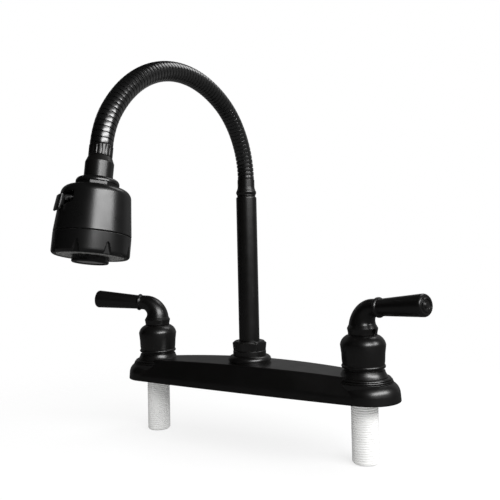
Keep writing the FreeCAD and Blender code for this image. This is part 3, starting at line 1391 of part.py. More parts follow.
def make_grip_ring():
    """The lower ring, with finger notches cut into the outer face round its foot."""
    body = head_body("grip_ring_body")
    top = "(%s + parting_gap)" % PARTING
    inner = "(grip_ring_radius - grip_ring_wall)"
    revolve(body, "grip_ring_turning", down([
        (inner, top),
        ("grip_ring_radius - 0.3", top),
        ("grip_ring_radius", top + " + 0.4"),
        ("grip_ring_radius", FACE + " - grip_ring_rounding", "-grip_ring_rounding"),
        ("grip_ring_radius - grip_ring_rounding", FACE),
        (inner, FACE),
    ]))
    reach = "(grip_ring_radius - notch_depth)"
    notch = new_sketch(body, "notch_outline", turn="notch_first_angle",
                       shift=outward(reach, "notch_first_angle"))
    draw_outline(notch, [
        ("-notch_width / 2", "-(%s + 1)" % FACE),
        ("notch_width / 2", "-(%s + 1)" % FACE),
        ("0.35", "-(%s - notch_height)" % FACE),
        ("-0.35", "-(%s - notch_height)" % FACE),
    ])
    wedge = pad(body, "notch", notch, "notch_depth + 3", kind="Pocket", Reversed=True)
    doc.recompute()
    notches = body.newObject("PartDesign::PolarPattern", "notches")
    notches.Originals = [wedge]
    upright = next(item for item in body.Origin.OriginFeatures if item.Role == "Z_Axis")
    notches.Axis = (upright, [""])
    notches.Angle = 360
    bind(notches, "Occurrences", "notch_count")
    body.Tip = notches
    keep(body, "grip_ring")


def make_spray_plate():
    """The pale face with two rings of nozzles round the aerator."""
    body = head_body("spray_plate_body")
    floor = "(%s - spray_plate_inset)" % FACE
    roof = "(%s - spray_plate_thickness)" % floor
    revolve(body, "spray_plate_turning", down([
        ("aerator_radius + snug_gap", roof),
        ("grip_ring_radius - grip_ring_wall - snug_gap", roof),
        ("grip_ring_radius - grip_ring_wall - snug_gap", floor + " - 0.3"),
        ("grip_ring_radius - grip_ring_wall - 0.5", floor),
        ("aerator_radius + snug_gap", floor),
    ]))
    upright = next(item for item in body.Origin.OriginFeatures if item.Role == "Z_Axis")
    for name, circle in (("outer", "nozzle_circle"), ("inner", "nozzle_inner_circle")):
        teat = new_sketch(body, name + "_nozzle_profile", "XZ_Plane")
        draw_outline(teat, [
            ("%s - nozzle_radius" % circle, "-(%s - 0.5)" % floor),
            ("%s - nozzle_radius" % circle, "-(%s)" % floor),
            ("%s - nozzle_radius * 0.7" % circle, "-(%s + nozzle_height)" % floor),
            ("%s - nozzle_bore" % circle, "-(%s + nozzle_height)" % floor),
            ("%s - nozzle_bore" % circle, "-(%s - 0.5)" % floor),
        ])
        axis = teat.addGeometry(Part.LineSegment(FreeCAD.Vector(size(circle), -size(floor), 0),
                                                 FreeCAD.Vector(size(circle), -size(roof), 0)), True)
        pin(teat, axis, 1, circle, "-(%s)" % floor)
        pin(teat, axis, 2, circle, "-(%s)" % roof)
        nozzle = add_feature(body, "Revolution", name + "_nozzle", teat, ReferenceAxis=(teat, ["Axis0"]))
        nozzle.Angle = 360
        doc.recompute()
        ring = body.newObject("PartDesign::PolarPattern", name + "_nozzles")
        ring.Originals = [nozzle]
        ring.Axis = (upright, [""])
        ring.Angle = 360
        bind(ring, "Occurrences", "nozzle_count" if name == "outer" else "nozzle_count * 3 / 4")
        body.Tip = ring
    keep(body, "spray_plate")


def make_aerator():
    """The black aerator cup that stands out of the face, and the grey screen in it."""
    foot = "(%s + aerator_reach)" % FACE
    top = "(%s - aerator_depth)" % foot
    inner = "(aerator_radius - aerator_wall)"
    hanging("aerator_housing", [
        (inner, top),
        ("aerator_radius", top),
        ("aerator_radius", foot + " - aerator_rounding", "-aerator_rounding"),
        ("aerator_radius - aerator_rounding", foot),
        (inner, foot),
    ])
    hanging("aerator_screen", [
        ("0", foot + " - screen_recess - screen_thickness"),
        (inner + " - running_gap", foot + " - screen_recess - screen_thickness"),
        (inner + " - running_gap", foot + " - screen_recess"),
        ("0", foot + " - screen_recess"),
    ])


def make_everything():
    """Makes all pieces from the deck up."""
    make_deck_plate()
    make_deck_gasket()
    for side, sign in (("hot", "-"), ("cold", "")):
        make_valve_body(side, sign)
        make_crossover(side, sign)
        make_hub(side, sign)
        make_cartridge(side, sign)
    make_levers()
    make_spout_tee()
    make_spout_flange()
    make_spout_nut()
    make_spout_tube()
    make_hose()
    make_hose_end()
    make_collar()
    make_head_shell()
    make_head_core()
    make_grip_ring()
    make_spray_plate()
    make_aerator()
    make_mode_tab()


def check_and_write():
    """Stops on any failed object or broken solid, then writes each piece to its file."""
    doc.recompute()
    faults = [item.Name for item in doc.Objects if "Invalid" in item.State or "Error" in item.State]
    if faults:
        raise RuntimeError("failed objects: %s" % ", ".join(faults))
    for node in NODES:
        if node.Shape.isNull() or not node.Shape.isValid():
            raise RuntimeError("broken solid: %s" % node.Label)
    os.makedirs("parts", exist_ok=True)
    for node in NODES:
        node.Shape.exportStep("parts/%s.step" % node.Label)
        print("%-24s solids %d  volume %9.1f" % (node.Label, len(node.Shape.Solids), node.Shape.Volume))
    print("pieces written:", len(NODES))


make_everything()
check_and_write()
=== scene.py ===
# %% [markdown]
# A kitchen mixer tap in satin black.
# The real tap is a long deck plate with a hub and a lever at each end, a standing pipe in the middle, and a
# ribbed hose that bends over to a spray head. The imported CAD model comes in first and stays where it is.
# Every piece that shows is then made again as a smooth surface in the same place, because the CAD mesh is
# many flat triangles, and a satin finish shows each of them.

import json
import math

import bpy
import numpy as np
from mathutils import Matrix, Vector


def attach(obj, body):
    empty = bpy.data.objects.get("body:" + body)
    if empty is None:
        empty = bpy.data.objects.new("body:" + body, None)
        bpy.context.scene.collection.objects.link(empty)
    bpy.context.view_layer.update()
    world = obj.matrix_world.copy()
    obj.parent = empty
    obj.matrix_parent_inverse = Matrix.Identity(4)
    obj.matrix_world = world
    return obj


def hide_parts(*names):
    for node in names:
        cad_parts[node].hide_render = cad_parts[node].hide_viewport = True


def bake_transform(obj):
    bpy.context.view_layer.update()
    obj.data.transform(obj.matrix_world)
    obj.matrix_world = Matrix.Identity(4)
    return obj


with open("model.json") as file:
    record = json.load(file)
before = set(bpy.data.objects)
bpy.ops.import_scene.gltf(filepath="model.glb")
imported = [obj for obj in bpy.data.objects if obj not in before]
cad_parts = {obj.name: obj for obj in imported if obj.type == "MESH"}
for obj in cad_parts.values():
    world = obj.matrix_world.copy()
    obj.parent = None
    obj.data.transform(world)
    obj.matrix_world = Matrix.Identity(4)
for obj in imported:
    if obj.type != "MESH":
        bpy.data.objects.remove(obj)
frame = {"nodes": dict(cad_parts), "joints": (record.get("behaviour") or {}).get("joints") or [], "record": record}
nodes = frame["nodes"]
joints = {joint["name"]: joint for joint in frame["joints"]}
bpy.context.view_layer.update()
MM = 0.001


# %% [markdown]
# The photograph was taken from in front, a little to the right and just above the levers' height.
# A camera has a place, a direction and a focal length. The focal length is in pixels of a 500 pixel frame, so
# it is turned into millimetres of a 36 mm wide sensor. The camera is built from three directions at right
# angles, because the photograph is also tipped by about a degree, which a plain aim at a point can't give.

# %% Camera
FRAME_PIXELS = 500
SENSOR_WIDTH = 36.0
FOCAL_PIXELS = 570.7
CAMERA_PLACE = Vector((0.2549, -0.4194, 0.1062))
CAMERA_HEADING = math.radians(31.03)
CAMERA_PITCH = math.radians(1.23)
CAMERA_ROLL = math.radians(-1.26)


def camera_directions(heading, pitch, roll):
    """Right, up and ahead of a camera: turned left by its heading, tipped up by its pitch, then rolled."""
    level = Vector((-math.sin(heading), math.cos(heading), 0))
    side = Vector((math.cos(heading), math.sin(heading), 0))
    ahead = level * math.cos(pitch) + Vector((0, 0, 1)) * math.sin(pitch)
    up = side.cross(ahead)
    right = side * math.cos(roll) + up * math.sin(roll)
    return right, up * math.cos(roll) - side * math.sin(roll), ahead


def put(name, data):
    """Puts an object with the given data in the scene."""
    thing = bpy.data.objects.new(name, data)
    bpy.context.scene.collection.objects.link(thing)
    return thing


right, up, ahead = camera_directions(CAMERA_HEADING, CAMERA_PITCH, CAMERA_ROLL)
lens = bpy.data.cameras.new("photo_camera")
lens.sensor_width = SENSOR_WIDTH
lens.lens = FOCAL_PIXELS / FRAME_PIXELS * SENSOR_WIDTH
camera = put("photo_camera", lens)
camera.matrix_world = Matrix.Translation(CAMERA_PLACE) @ Matrix((right, up, -ahead)).transposed().to_4x4()
bpy.context.scene.camera = camera
print("lens in mm:", round(lens.lens, 2))

# %% [markdown]
# Nearly every piece of a tap is turned on a lathe or cast to look so. Its shape is an outline from the axis
# out and back, with straight runs, arcs, and small roundings where two runs meet. A sharp corner would look
# like paper: real edges catch a thin line of light. So the outline helper rounds each corner, and puts one
# more row a little way along each run, which keeps the flat parts flat when the shading is smooth.

# %% Outlines
EDGE = 0.15
ARC_STEP = math.radians(12)
LEAST_TURN = 0.05
MOST_REACH = 0.98


def arc_rows(start, end, radius):
    """Points of an arc between two places. Its centre lies off the chord's middle by the root of the radius
    squared less half the chord squared; a positive radius turns left along the way, a negative one right."""
    start, end = np.array(start, float), np.array(end, float)
    chord = end - start
    half = np.linalg.norm(chord) / 2
    left = np.array((-chord[1], chord[0])) / (2 * half)
    centre = (start + end) / 2 + left * math.copysign(math.sqrt(max(radius ** 2 - half ** 2, 0)), radius)
    sweep = math.copysign(2 * math.asin(min(1, half / abs(radius))), radius)
    turns = np.linspace(0, sweep, max(2, math.ceil(abs(sweep) / ARC_STEP)) + 1)[1:-1]
    arm = start - centre
    return np.stack([centre[0] + arm[0] * np.cos(turns) - arm[1] * np.sin(turns),
                     centre[1] + arm[0] * np.sin(turns) + arm[1] * np.cos(turns)], 1)


def rounding_rows(before, corner, after, radius):
    """Points of a rounded corner. Its arc's centre is on the corner's bisector, the radius over the cosine of
    half the turn away, so that both runs touch the arc."""
    back, on = before - corner, after - corner
    back_length, on_length = np.linalg.norm(back), np.linalg.norm(on)
    back, on = back / back_length, on / on_length
    turn = math.pi - math.acos(np.clip(back @ on, -1, 1))
    if radius <= 0 or turn < LEAST_TURN:
        return corner[None]
    reach = radius * math.tan(turn / 2)
    most = MOST_REACH * min(back_length, on_length)
    if reach > most:
        radius, reach = radius * most / reach, most
    middle = back + on
    centre = corner + middle / np.linalg.norm(middle) * radius / math.cos(turn / 2)
    share = np.linspace(0, 1, max(2, math.ceil(turn / ARC_STEP)) + 1)[:, None]
    first, last = corner + back * reach - centre, corner + on * reach - centre
    arc = (np.sin((1 - share) * turn) * first + np.sin(share * turn) * last) / math.sin(turn)
    rows = [centre + arc]
    if back_length > 3 * reach:
        rows.insert(0, (corner + back * reach * 1.5)[None])
    if on_length > 3 * reach:
        rows.append((corner + on * reach * 1.5)[None])
    return np.vstack(rows)


def outline(corners, loop=False):
    """Rows of an outline. A corner is (across, along), then its rounding, then the radius of the arc that
    leaves it. A loop comes back to its first corner."""
    places, roundings = [], []
    count = len(corners)
    for index, corner in enumerate(corners):
        places.append(np.array(corner[:2], float))
        roundings.append(corner[2] if len(corner) > 2 else EDGE)
        if len(corner) > 3:
            arc = arc_rows(corner[:2], corners[(index + 1) % count][:2], corner[3])
            places.extend(arc)
            roundings.extend([0.0] * len(arc))
    last = len(places) - 1
    rows = []
    for index, (place, rounding) in enumerate(zip(places, roundings)):
        if not loop and index in (0, last):
            rows.append(place[None])
            continue
        rows.append(rounding_rows(places[index - 1], place, places[(index + 1) % (last + 1)], rounding))
    return np.vstack(rows)


# %% [markdown]
# An outline becomes a surface when it is carried round an axis: each of its rows is drawn again at each of
# many angles, which gives a grid of points. A grid of points is all a mesh needs, because four neighbours
# make a face. The axis of each piece is read from the joint that it turns on, so a piece can't miss its
# place. Where a piece isn't round, a field changes its radius: a function of angle, height and radius.

# %% From a grid of points to a mesh
SHARP_ANGLE = math.radians(38)


def grid_faces(grid, loop=False):
    """Points and faces of a grid, rows by columns, whose last column meets the first. A row whose points all
    meet is kept as one point, and in a loop the last row meets the first. Faces look outwards: the sum of
    each face's share of the volume shows whether they have to be turned round."""
    rows, columns = grid.shape[:2]
    ids = np.arange(rows * columns).reshape(rows, columns)
    gathered = np.ptp(grid, axis=1).max(1) < 1e-8
    ids[gathered] = ids[gathered][:, :1]
    beside = np.roll(ids, -1, 1)
    if loop:
        quads = np.stack([ids, beside, np.roll(beside, -1, 0), np.roll(ids, -1, 0)], 2).reshape(-1, 4)
    else:
        quads = np.stack([ids[:-1], beside[:-1], beside[1:], ids[1:]], 2).reshape(-1, 4)
    points = grid.reshape(-1, 3)
    arms = points[quads] - points.mean(0)
    areas = np.cross(arms[:, 1], arms[:, 2]) + np.cross(arms[:, 2], arms[:, 3])
    if np.einsum("ij,ij->", arms[:, 0], areas) < 0:
        quads = quads[:, ::-1]
    kept, quads = np.unique(quads, return_inverse=True)
    quads = quads.reshape(-1, 4)
    following = np.roll(quads, -1, 1)
    doubled = quads == following
    whole = quads[~doubled.any(1)]
    pointed = quads[doubled.sum(1) == 1]
    corners = pointed[~doubled[doubled.sum(1) == 1]].reshape(-1, 3)
    return points[kept], whole.tolist() + corners.tolist()


def make_mesh(name, grids, loops=()):
    """One mesh object from one or more closed grids."""
    points, faces = [], []
    for index, grid in enumerate(grids):
        more_points, more_faces = grid_faces(grid, index in loops)
        start = sum(len(part) for part in points)
        faces += [[start + corner for corner in face] for face in more_faces]
        points.append(more_points)
    mesh = bpy.data.meshes.new(name)
    mesh.from_pydata(np.vstack(points).tolist(), [], faces)
    mesh.shade_smooth()
    mesh.set_sharp_from_angle(angle=SHARP_ANGLE)
    return put(name, mesh)


def round_angles(segments):
    """Evenly spaced angles of a full circle."""
    return np.linspace(0, 2 * math.pi, segments, endpoint=False)


def turned(rows, axis, field=None, segments=128, angles=None):
    """Carries rows of (radius, height) round an axis. A point is the axis's origin, plus radius times the
    cosine and sine of its angle along the axis's own x and y, plus height along it."""
    if angles is None:
        angles = round_angles(segments)
    angle, radius = np.meshgrid(angles, rows[:, 0])
    height = np.repeat(rows[:, 1:2], len(angles), 1)
    if field is not None:
        radius = field(angle, height, radius)
    local = np.stack([radius * np.cos(angle), radius * np.sin(angle), height], 2) * MM
    origin, directions = axis
    return local @ directions + origin


def joint_axis(name, lean=0.0, base=None):
    """The place of a joint and three directions: x across, y behind, z up its axis."""
    origin = np.array(joints[name]["pos_m"], float)
    if base is not None:
        origin[2] = base
    upright = np.array([[1, 0, 0], [0, math.cos(lean), -math.sin(lean)], [0, math.sin(lean), math.cos(lean)]])
    return origin, upright


HEAD_LEAN = math.asin(-joints["head_swivel"]["axis"][1])
SPOUT = joint_axis("spout_swing", base=0.0)
HUBS = {side: joint_axis(side + "_turn", base=0.0) for side in ("hot", "cold")}
HEAD = joint_axis("head_swivel", HEAD_LEAN)
UP = np.array((0, 0, 1))


def facing(angle):
    """The directions outwards and sideways at an angle round an upright axis."""
    out = np.array((math.cos(angle), math.sin(angle), 0))
    return out, np.array((-out[1], out[0], 0))


def hung(corners, loop=False):
    """Rows of an outline on the spray head, given as (radius, distance down from the hose's end)."""
    return outline(corners, loop) * (1, -1)


def smooth_step(value):
    """Goes from 0 to 1 without a corner at either end."""
    value = np.clip(value, 0, 1)
    return value * value * (3 - 2 * value)


def off_nearest(angle, step=2 * math.pi):
    """How far an angle is from the nearest whole number of steps."""
    return np.mod(angle + step / 2, step) - step / 2


def faded_ends(height, low, high, fade):
    """One between two heights, which fades to nothing at both."""
    return np.clip((height - low) / fade, 0, 1) * np.clip((high - height) / fade, 0, 1)


def pressed(radius, target, share, inner):
    """Moves a surface by a share of the way to a target radius, except what lies within an inner one."""
    return np.where(radius > inner, radius + (target - radius) * share, radius)


def dress(piece, node, slot, material=None):
    """Gives a piece the slot's finish unless it has its own, and hides the CAD node it stands for."""
    piece.data.materials.append(material or FINISHES[slot])
    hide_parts(node)
    print(piece.name, "faces:", len(piece.data.polygons))


def fit(name, grids, body, node, slot, loops=(), material=None):
    """Makes a piece that moves with one body, and dresses it."""
    piece = make_mesh(name, grids, loops)
    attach(piece, body)
    dress(piece, node, slot, material)


print("head leans by", round(math.degrees(HEAD_LEAN), 2), "degrees")

# %% [markdown]
# Finishes are made from noise. Paint, plastic and rubber are never one flat value: the colour drifts a
# little, the gloss drifts more, and a fine grain stands in the surface. Each finish below sets the shader's
# own values for what is the same all over, and lets noise drive only colour, roughness and bump.

# %% Shared finish
def colour(*values):
    """A colour with full opacity; one value makes it grey."""
    return (values * 3)[:3] + (1.0,)


def add(tree, kind, values=None, links=None, **settings):
    """Adds a shader node, with its settings, the values of its inputs and what is linked to them."""
    node = tree.nodes.new("ShaderNode" + kind)
    for name, setting in settings.items():
        setattr(node, name, setting)
    for name, value in (values or {}).items():
        node.inputs[name].default_value = value
    for name, source in (links or {}).items():
        tree.links.new(source, node.inputs[name])
    return node


def noise(tree, scale, detail, stretch=(1, 1, 1), rough=0.5):
    """A noise pattern on the piece's own place in metres, stretched along its axes where asked."""
    place = add(tree, "TexCoord")
    mapping = add(tree, "Mapping", {"Scale": stretch}, {"Vector": place.outputs["Object"]})
    pattern = add(tree, "TexNoise", {"Scale": scale, "Detail": detail, "Roughness": rough},
                  {"Vector": mapping.outputs["Vector"]})
    return pattern.outputs["Fac"]


def finish(name, dark, light, gloss, cloud=60, grain=2500, bump=0.05, depth=0.00003, stretch=(1, 1, 1),
           metallic=0.0, specular=0.5, coat=0.0, coat_roughness=0.1):
    """A finish whose colour drifts from dark to light and whose roughness drifts over a range, both on slow
    clouds of noise, with a fine grain as bump."""
    material = bpy.data.materials.new(name)
    material.use_nodes = True
    tree = material.node_tree
    shader = tree.nodes["Principled BSDF"]
    for socket, value in (("Metallic", metallic), ("Specular IOR Level", specular), ("Coat Weight", coat),
                          ("Coat Roughness", coat_roughness)):
        shader.inputs[socket].default_value = value
    mix = add(tree, "Mix", {"A": dark, "B": light}, {"Factor": noise(tree, cloud, 3)}, data_type="RGBA")
    low, high = gloss
    rough = add(tree, "MapRange", {"From Min": 0.3, "From Max": 0.7, "To Min": low, "To Max": high},
                {"Value": noise(tree, cloud * 2.3, 5)})
    raised = add(tree, "Bump", {"Strength": bump, "Distance": depth},
                 {"Height": noise(tree, grain, 4, stretch, 0.6)})
    for socket, source, result in (("Base Color", mix, "Result"), ("Roughness", rough, "Result"),
                                   ("Normal", raised, "Normal")):
        tree.links.new(source.outputs[result], shader.inputs[socket])
    return material


# %% [markdown]
# What is black on this tap is not all one thing. The plate, hubs, levers and pipe are metal with a satin
# black coat, a little warm where light falls flat on it. The hose has the same coat, but handling has made
# it glossier. The spray head is moulded plastic with a very fine grain, so its highlight is broad and grey.

# %% Black finishes
FINISHES = {
    "black_metal": finish("satin_black_coat", colour(0.0024, 0.0022, 0.0021), colour(0.0042, 0.0038, 0.0036),
                          (0.28, 0.34), cloud=45, grain=5200, bump=0.10, depth=0.00002, specular=0.85),
    "hose_black": finish("hose_black_coat", colour(0.0022), colour(0.0040), (0.22, 0.28), cloud=80,
                         grain=4200, bump=0.06, depth=0.00002, specular=1.0, coat=1.0, coat_roughness=0.25),
    "black_plastic": finish("head_black_plastic", colour(0.0028), colour(0.0046), (0.27, 0.32), cloud=50,
                            grain=6500, bump=0.12, depth=0.00002, specular=0.78),
    "screen_grey": finish("screen_grey_plastic", colour(0.10), colour(0.16), (0.45, 0.6), cloud=300,
                          grain=3000, bump=0.3, depth=0.0001),
}

# %% [markdown]
# The tails and the spray face are pale moulded plastics with a soft sheen. Inside the tap, out of sight, are
# turned brass, lapped ceramic, rubber, steel and a clear liner. They get finishes too, because the tap may be
# taken apart: brass shows the fine rings of the lathe, and ceramic is the smoothest of all.

# %% Pale and inner finishes
screw_steel = finish("screw_black_steel", colour(0.03), colour(0.06), (0.3, 0.42), cloud=400, grain=3500,
                     bump=0.1, metallic=1.0)
FINISHES.update({
    "white_plastic": finish("tail_white_plastic", colour(0.80, 0.80, 0.79), colour(0.87, 0.87, 0.86),
                            (0.35, 0.45), cloud=70, grain=1800, depth=0.00004),
    "pale_plastic": finish("face_pale_plastic", colour(0.17, 0.17, 0.165), colour(0.21, 0.21, 0.205),
                           (0.38, 0.5), cloud=90, grain=2600, bump=0.1, depth=0.00004),
    "brass": finish("turned_brass", colour(0.62, 0.44, 0.17), colour(0.74, 0.56, 0.25), (0.24, 0.36),
                    cloud=90, grain=900, bump=0.12, stretch=(0.1, 0.1, 6), metallic=1.0),
    "steel": finish("plain_steel", colour(0.48), colour(0.60), (0.22, 0.34), cloud=200, bump=0.08,
                    metallic=1.0),
    "seal_rubber": finish("black_rubber", colour(0.016), colour(0.028), (0.55, 0.75), cloud=120, grain=1500,
                          bump=0.2, depth=0.00005),
    "ceramic": finish("lapped_ceramic", colour(0.84, 0.83, 0.80), colour(0.90, 0.89, 0.87), (0.12, 0.18),
                      cloud=150, grain=6000, bump=0.02),
    "liner_plastic": finish("liner_clear_plastic", colour(0.60, 0.60, 0.57), colour(0.70, 0.70, 0.67),
                            (0.3, 0.4), grain=1200),
})
for part in frame["record"]["subparts"]:
    data = nodes[part["node"]].data
    data.materials.clear()
    data.materials.append(FINISHES[part["material_slot"]])
print("finishes:", len(bpy.data.materials))

# %% [markdown]
# The deck plate is a casting: a long boat-shaped ridge whose sides lean in, a round nose at each end, and a
# stepped pedestal that each hub stands on. The ridge could be lofted between two outlines, but its top is
# crowned lengthwise and its rim is rounded. So each column of the grid is one cross-section: it goes up the
# skirt, up the leaning side until it meets the crown, round the rim, and in to the middle line.

# %% Ridge of the deck plate
SKIRT = 6.0
LOFT_TOP = 23.6
RIDGE_INSET = 0.1
LOW = np.array((104.6, 24.3 - RIDGE_INSET, 1.5))
HIGH = np.array((90.0, 12.5, 8.9))
FOOT_DRAFT = 0.5
CROWN_TOP = 21.6
CROWN_RADIUS = 1340.0
RIM_ROUNDING = 0.8
SKIRT_ROUNDING = 2.0
SIDE_COLUMNS = 120
END_COLUMNS = 40
PEDESTAL_INNER = 79.3


def crown(x):
    """Height of the ridge's top: a very flat arc along the plate."""
    return CROWN_TOP - (CROWN_RADIUS - np.sqrt(CROWN_RADIUS ** 2 - x ** 2))


def plate_outline(height):
    """A place on the plate's side for each column at its own height. The long sides bow out by a parabola
    from one end to the other, and the ends are half circles; end, radius and bow shrink with height."""
    share = np.clip((height - SKIRT) / (LOFT_TOP - SKIRT), 0, 1)[..., None]
    end, radius, bow = np.moveaxis(LOW + (HIGH - LOW) * share, -1, 0)
    radius = radius + FOOT_DRAFT * np.clip(1 - height / SKIRT, 0, 1)
    along = np.linspace(-1, 1, SIDE_COLUMNS, endpoint=False)
    swing = np.linspace(-math.pi / 2, math.pi / 2, END_COLUMNS, endpoint=False)
    kind = np.repeat([0, 1, 2, 3], [SIDE_COLUMNS, END_COLUMNS] * 2)
    u = np.concatenate([along, swing, -along, swing + math.pi])
    straight = kind % 2 == 0
    sign = np.where(kind < 2, -1.0, 1.0)
    turn = np.where(straight, 0, u)
    x = np.where(straight, end * u, np.where(kind == 1, end, -end) + radius * np.cos(turn))
    y = np.where(straight, sign * (radius + bow * (1 - u ** 2)), radius * np.sin(turn))
    return np.stack([x, y, np.broadcast_to(height, x.shape)], -1)


def rounded_corner(corner, back, on, size, steps):
    """Rows that round a corner: a parabola that leaves one direction and joins the other."""
    share = np.linspace(0, 1, steps)[:, None, None]
    start, end = corner - back * size, corner + on * size
    return start * (1 - share) ** 2 + corner * 2 * share * (1 - share) + end * share ** 2


def ridge_grid():
    """The ridge as rows of cross-sections, from the middle of its underside to its crown. The rim's height is
    found by steps: the crown's height where the side is, then the side's place at that height."""
    columns = 2 * (SIDE_COLUMNS + END_COLUMNS)
    foot = plate_outline(np.zeros(columns))
    bend = plate_outline(np.full(columns, SKIRT))
    height = np.full(columns, CROWN_TOP)
    for _ in range(8):
        height = crown(plate_outline(height)[:, 0])
    rim = plate_outline(height)
    lower, upper = bend - foot, rim - bend
    lower /= np.linalg.norm(lower, axis=1, keepdims=True)
    upper /= np.linalg.norm(upper, axis=1, keepdims=True)
    inward = np.stack([np.zeros(columns), -np.sign(rim[:, 1]), np.zeros(columns)], 1)
    room = np.minimum(RIM_ROUNDING, 0.8 * np.abs(rim[:, 1]))[:, None]
    top = rim + inward * room
    in_share = np.array((0.9, 0.6, 0.3, 0.0))[:, None, None]
    across = top * (1, 0, 1) + top * (0, 1, 0) * in_share
    rows = [foot[None] * (1, 0, 1), foot[None], rounded_corner(bend, lower, upper, SKIRT_ROUNDING, 7),
            (bend + (rim - bend) * 0.5)[None], rounded_corner(rim, upper, inward, room, 9), across]
    return np.concatenate(rows) * MM


ridge = ridge_grid()
crown_there = round(float(crown(PEDESTAL_INNER)), 2)
print("ridge rows and columns:", ridge.shape[:2], "crown at the pedestals:", crown_there, "mm")

# %% Noses and pedestals
NOSE_OFFSET = 3.0 * MM
NOSE = outline([(0, 0.05), (24.8, 0.05, 0.3), (24.3, 6, 0.6, 9.5), (19.6, 13.5, 0.3), (0, 13.5)])
PEDESTAL = outline([
    (0, 3), (22.3, 3), (22.3, 14.3, 0.3), (21.0, 14.3, 0.05), (21.0, 14.7, 0.05), (21.8, 14.7, 0.15, 1.2),
    (21.6, 15.7, 0.15), (20.1, 15.7, 0.05), (20.1, 16.1, 0.05), (20.9, 16.1, 0.15, 1.6), (19.9, 17.4, 0.2),
    (0, 17.4),
])
plate_grids = [ridge]
for side, outward in (("hot", -1), ("cold", 1)):
    origin, directions = HUBS[side]
    nose_axis = (origin + (outward * NOSE_OFFSET, 0, 0), directions)
    plate_grids.append(turned(NOSE, nose_axis, segments=160))
    plate_grids.append(turned(PEDESTAL, HUBS[side], segments=160))
fit("deck_plate_casting", plate_grids, "deck", "deck_plate", "black_metal")

# %% [markdown]
# Each hub is a bell that hides the valve: a flared foot, a groove, a bead, a waist and a domed top. It is one
# turned outline of arcs: a cove at the foot, a bead above it, and the long shallow curve of the waist, which
# is why its highlight narrows in the middle.

# %% Hubs
HUB = outline([
    (0, 17.35), (18.3, 17.35, 0.1), (18.3, 18.0, 0.15, -9), (16.2, 22.4, 0.15), (14.7, 22.8, 0.1),
    (14.7, 24.0, 0.1), (16.0, 24.1, 0.1, 1.4), (16.1, 26.6, 0.0, -6), (16.35, 28.8, 0.0, -90),
    (17.45, 41.6, 0.0, 9.2), (11.4, 49.0, 0.6), (0, 49.0),
])
for side in ("hot", "cold"):
    bell = turned(HUB, HUBS[side], segments=144)
    fit(side + "_hub_bell", [bell], "deck", side + "_hub", "black_metal")

# %% [markdown]
# A lever is a casting that starts as a round foot, bends over as a horn that gets thinner, and ends as a
# grip that gets thicker. It could be several pieces put together, but then the joins show. Instead it is one
# outline of (distance along the path, radius), and the path goes straight up, round a bend and straight out.
# The set screw's hole is a pit in the same surface: the radius drops inside a small circle on the foot.

# %% Levers
LEVER_FOOT = 49.3
ELBOW_START = 7.2
ELBOW_BEND = 13.7
ELBOW_TURN = math.radians(85)
ELBOW_END = ELBOW_START + ELBOW_BEND * ELBOW_TURN
ELBOW_RADII = (10.5, 6.7)
REST_ANGLE = math.radians(23)
GRIP_BEAD = 17.0
GRIP_END = 56.7
GRIP_TIP = 60.2
FOOT_INNER = 9.0
SCREW_HEIGHT = 2.5
SCREW_RADIUS = 2.0
SCREW_FACE = 9.6
PIT_RADIUS = 11.4
PIT_FLOOR = SCREW_FACE - 0.6
PIT_ROOM = 0.25
PIT_RIM = 0.3


def reach_along(reach):
    """Distance along the lever's path of a place at a reach from the hub's axis."""
    far = ELBOW_BEND * (1 - math.cos(ELBOW_TURN))
    return ELBOW_END + (reach - far) / math.sin(ELBOW_TURN)


def lever_rows():
    """Rows of (radius, distance along the path) of the whole lever."""
    foot = outline([(0, 0), (11.15, 0, 0.2), (11.15, 1.2, 0.3), (11.75, 4.2, 0.25), (11.75, 5.0, 0.25),
                    (10.5, ELBOW_START, 0.5), (10.25, ELBOW_START + 1.2)])
    pit = np.linspace(0.2, 4.8, 40)
    pit_rows = np.stack([np.interp(pit, (0, 1.2, 4.2, 4.8), (11.15, 11.15, 11.75, 11.75)), pit], 1)
    foot = np.vstack([foot[foot[:, 1] < 0.2], pit_rows, foot[foot[:, 1] > 4.8]])
    foot[1:, 0] = np.maximum(foot[1:, 0], FOOT_INNER)
    share = np.linspace(0.08, 1, 36)
    horn = ELBOW_RADII[1] + (ELBOW_RADII[0] - ELBOW_RADII[1]) * (1 - share) ** 1.1
    elbow = np.stack([horn, ELBOW_START + (ELBOW_END - ELBOW_START) * share], 1)
    bead, end, tip = (reach_along(reach) for reach in (GRIP_BEAD, GRIP_END, GRIP_TIP))
    grip = outline([
        (6.7, ELBOW_END + 0.1), (6.7, bead - 1.8, 0.1), (7.1, bead - 1.3, 0.1, 1.6), (7.1, bead + 1.3, 0.1),
        (6.45, bead + 1.8, 0.3), (8.15, end, 0.0, 3.0), (6.8, tip - 0.9, 0.1), (5.3, tip - 0.9, 0.1),
        (4.9, tip, 0.1), (4.4, tip, 0.1), (3.9, tip - 0.9, 0.1), (2.9, tip - 0.9, 0.1), (2.0, tip, 0.2),
        (0, tip),
    ])
    return np.vstack([foot, elbow, grip])


